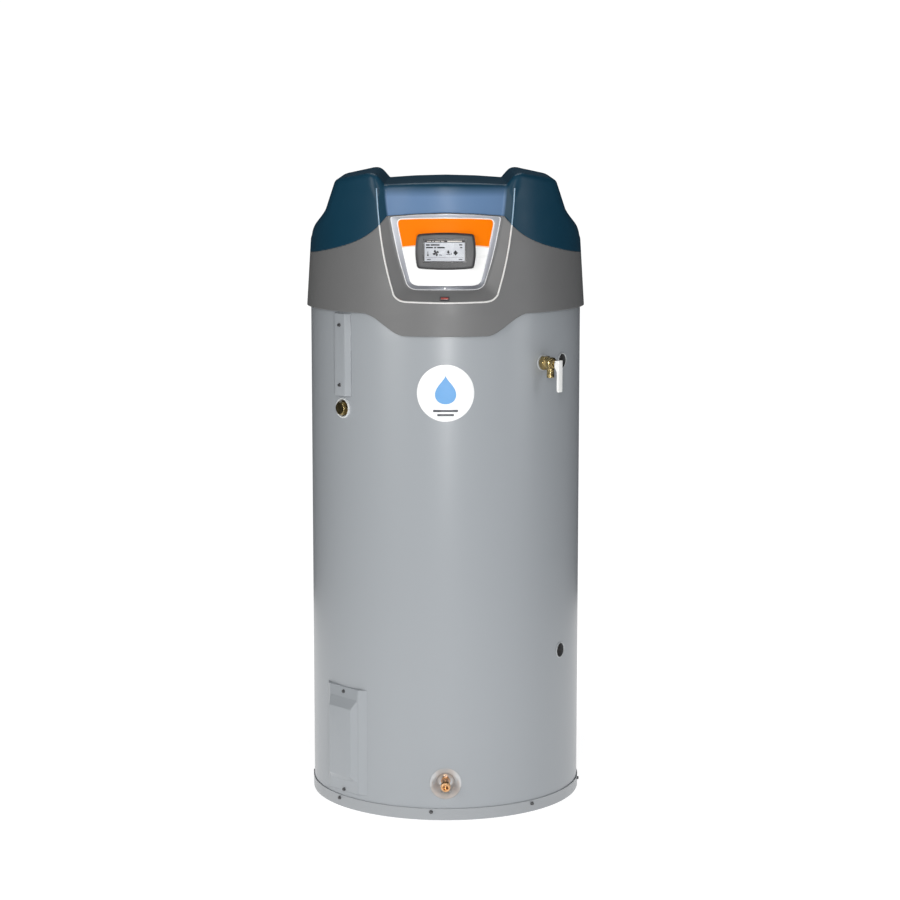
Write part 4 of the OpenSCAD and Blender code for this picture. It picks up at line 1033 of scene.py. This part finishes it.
# --- finishes on the CAD's own parts
SOFTENED = {"rocker_frame": 0.3, "power_rocker": 0.35, "tp_valve_pin": 0.25, "drain_stem": 0.3}
SOFTENED.update({f"key_{i}": 0.35 for i in range(1, 6)})


def finish_cad_parts():
    """Gives every CAD part its slot's finish, the rocker's frame the bezel's, and rounds small edges."""
    for part in frame["record"]["subparts"]:
        obj = frame["nodes"][part["node"]]
        obj.data.materials.clear()
        slot = "bezel_grey" if part["node"] == "rocker_frame" else part["material_slot"]
        obj.data.materials.append(LOOKS[slot])
        if part["node"] in SOFTENED:
            edge = obj.modifiers.new("edge", "BEVEL")
            edge.width = SOFTENED[part["node"]] * MM
            edge.segments = 2
            edge.limit_method = "ANGLE"
            edge.angle_limit = radians(40)


finish_cad_parts()


# --- studio
def area_light(name, place, aim, size, power, colour=(1, 1, 1)):
    data = bpy.data.lights.new(name, "AREA")
    data.shape = "RECTANGLE"
    data.size, data.size_y = size
    data.energy = power
    data.color = colour
    light = placed(name, data)
    light.location = place
    light.rotation_euler = (Vector(aim) - Vector(place)).to_track_quat("-Z", "Y").to_euler()
    light.visible_camera = False


def build_world(scene):
    """Grey gradient that lights the heater; the camera sees plain white behind it."""
    world = bpy.data.worlds.new("studio")
    world.use_nodes = True
    scene.world = world
    tree = world.node_tree
    sky = tree.nodes["Background"]
    part = position(tree, "Generated")[1]
    front = remap(tree, part["Y"], 1.0, 0.0, -0.75, 0.15)
    feed(sky, {"Color": mix_colour(tree, front, (0.025, 0.026, 0.028), (0.40, 0.41, 0.42)),
               "Strength": remap(tree, part["Z"], 1.0, 0.6, 0.1, 0.6)})
    white = node(tree, "Background", {"Color": (1.05, 1.05, 1.05, 1)})[0]
    by_camera = node(tree, "LightPath")["Is Camera Ray"]
    seen = node(tree, "MixShader", {0: by_camera, 1: sky.outputs[0], 2: white})[0]
    feed(tree.nodes["World Output"], {"Surface": seen})


def build_floor():
    """Pale disc that glows more towards its edge, so that it fades into the white."""
    mesh = bpy.data.meshes.new("studio_floor")
    mesh.from_pydata([(x, y, 0) for x, y in circle(2.2, 128)], [], [tuple(range(128))])
    floor = placed("studio_floor", mesh)
    paper = surface("studio_paper", (0.26, 0.26, 0.26), 0.6, mottle=0.004, mottle_size=900,
                    grain=0.01, grain_size=3)
    tree = paper.node_tree
    glow(paper, (1, 1, 1), remap(tree, flat_length(tree, position(tree)[0]), 0.90, 1.0, 0.5, 1.2))
    mesh.materials.append(paper)


def build_studio():
    scene = bpy.context.scene
    scene.view_settings.view_transform = "Standard"
    build_world(scene)
    build_floor()
    area_light("key", (-2.7, -2.9, 1.9), (0, 0, 0.8), (1.4, 2.4), 52, (1.0, 0.99, 0.97))
    area_light("fill", (3.3, -1.6, 1.6), (0, 0, 0.8), (0.9, 2.2), 18, (0.97, 0.98, 1.0))
    area_light("top", (0, 0.5, 3.3), (0, 0, 1.3), (1.8, 1.6), 26, (0.98, 0.99, 1.0))
    area_light("strip", (0.05, -2.8, 1.35), (0, 0, 1.0), (0.2, 1.5), 30)

    data = bpy.data.cameras.new("photo_view")
    data.sensor_width = 36
    data.lens = 95.4
    data.shift_x = 0.0049
    camera = placed("photo_view", data)
    camera.location = (0, -5.4131, 1.5671)
    camera.rotation_euler = (radians(90 - 8.2289), 0, 0)
    scene.camera = camera


build_studio()
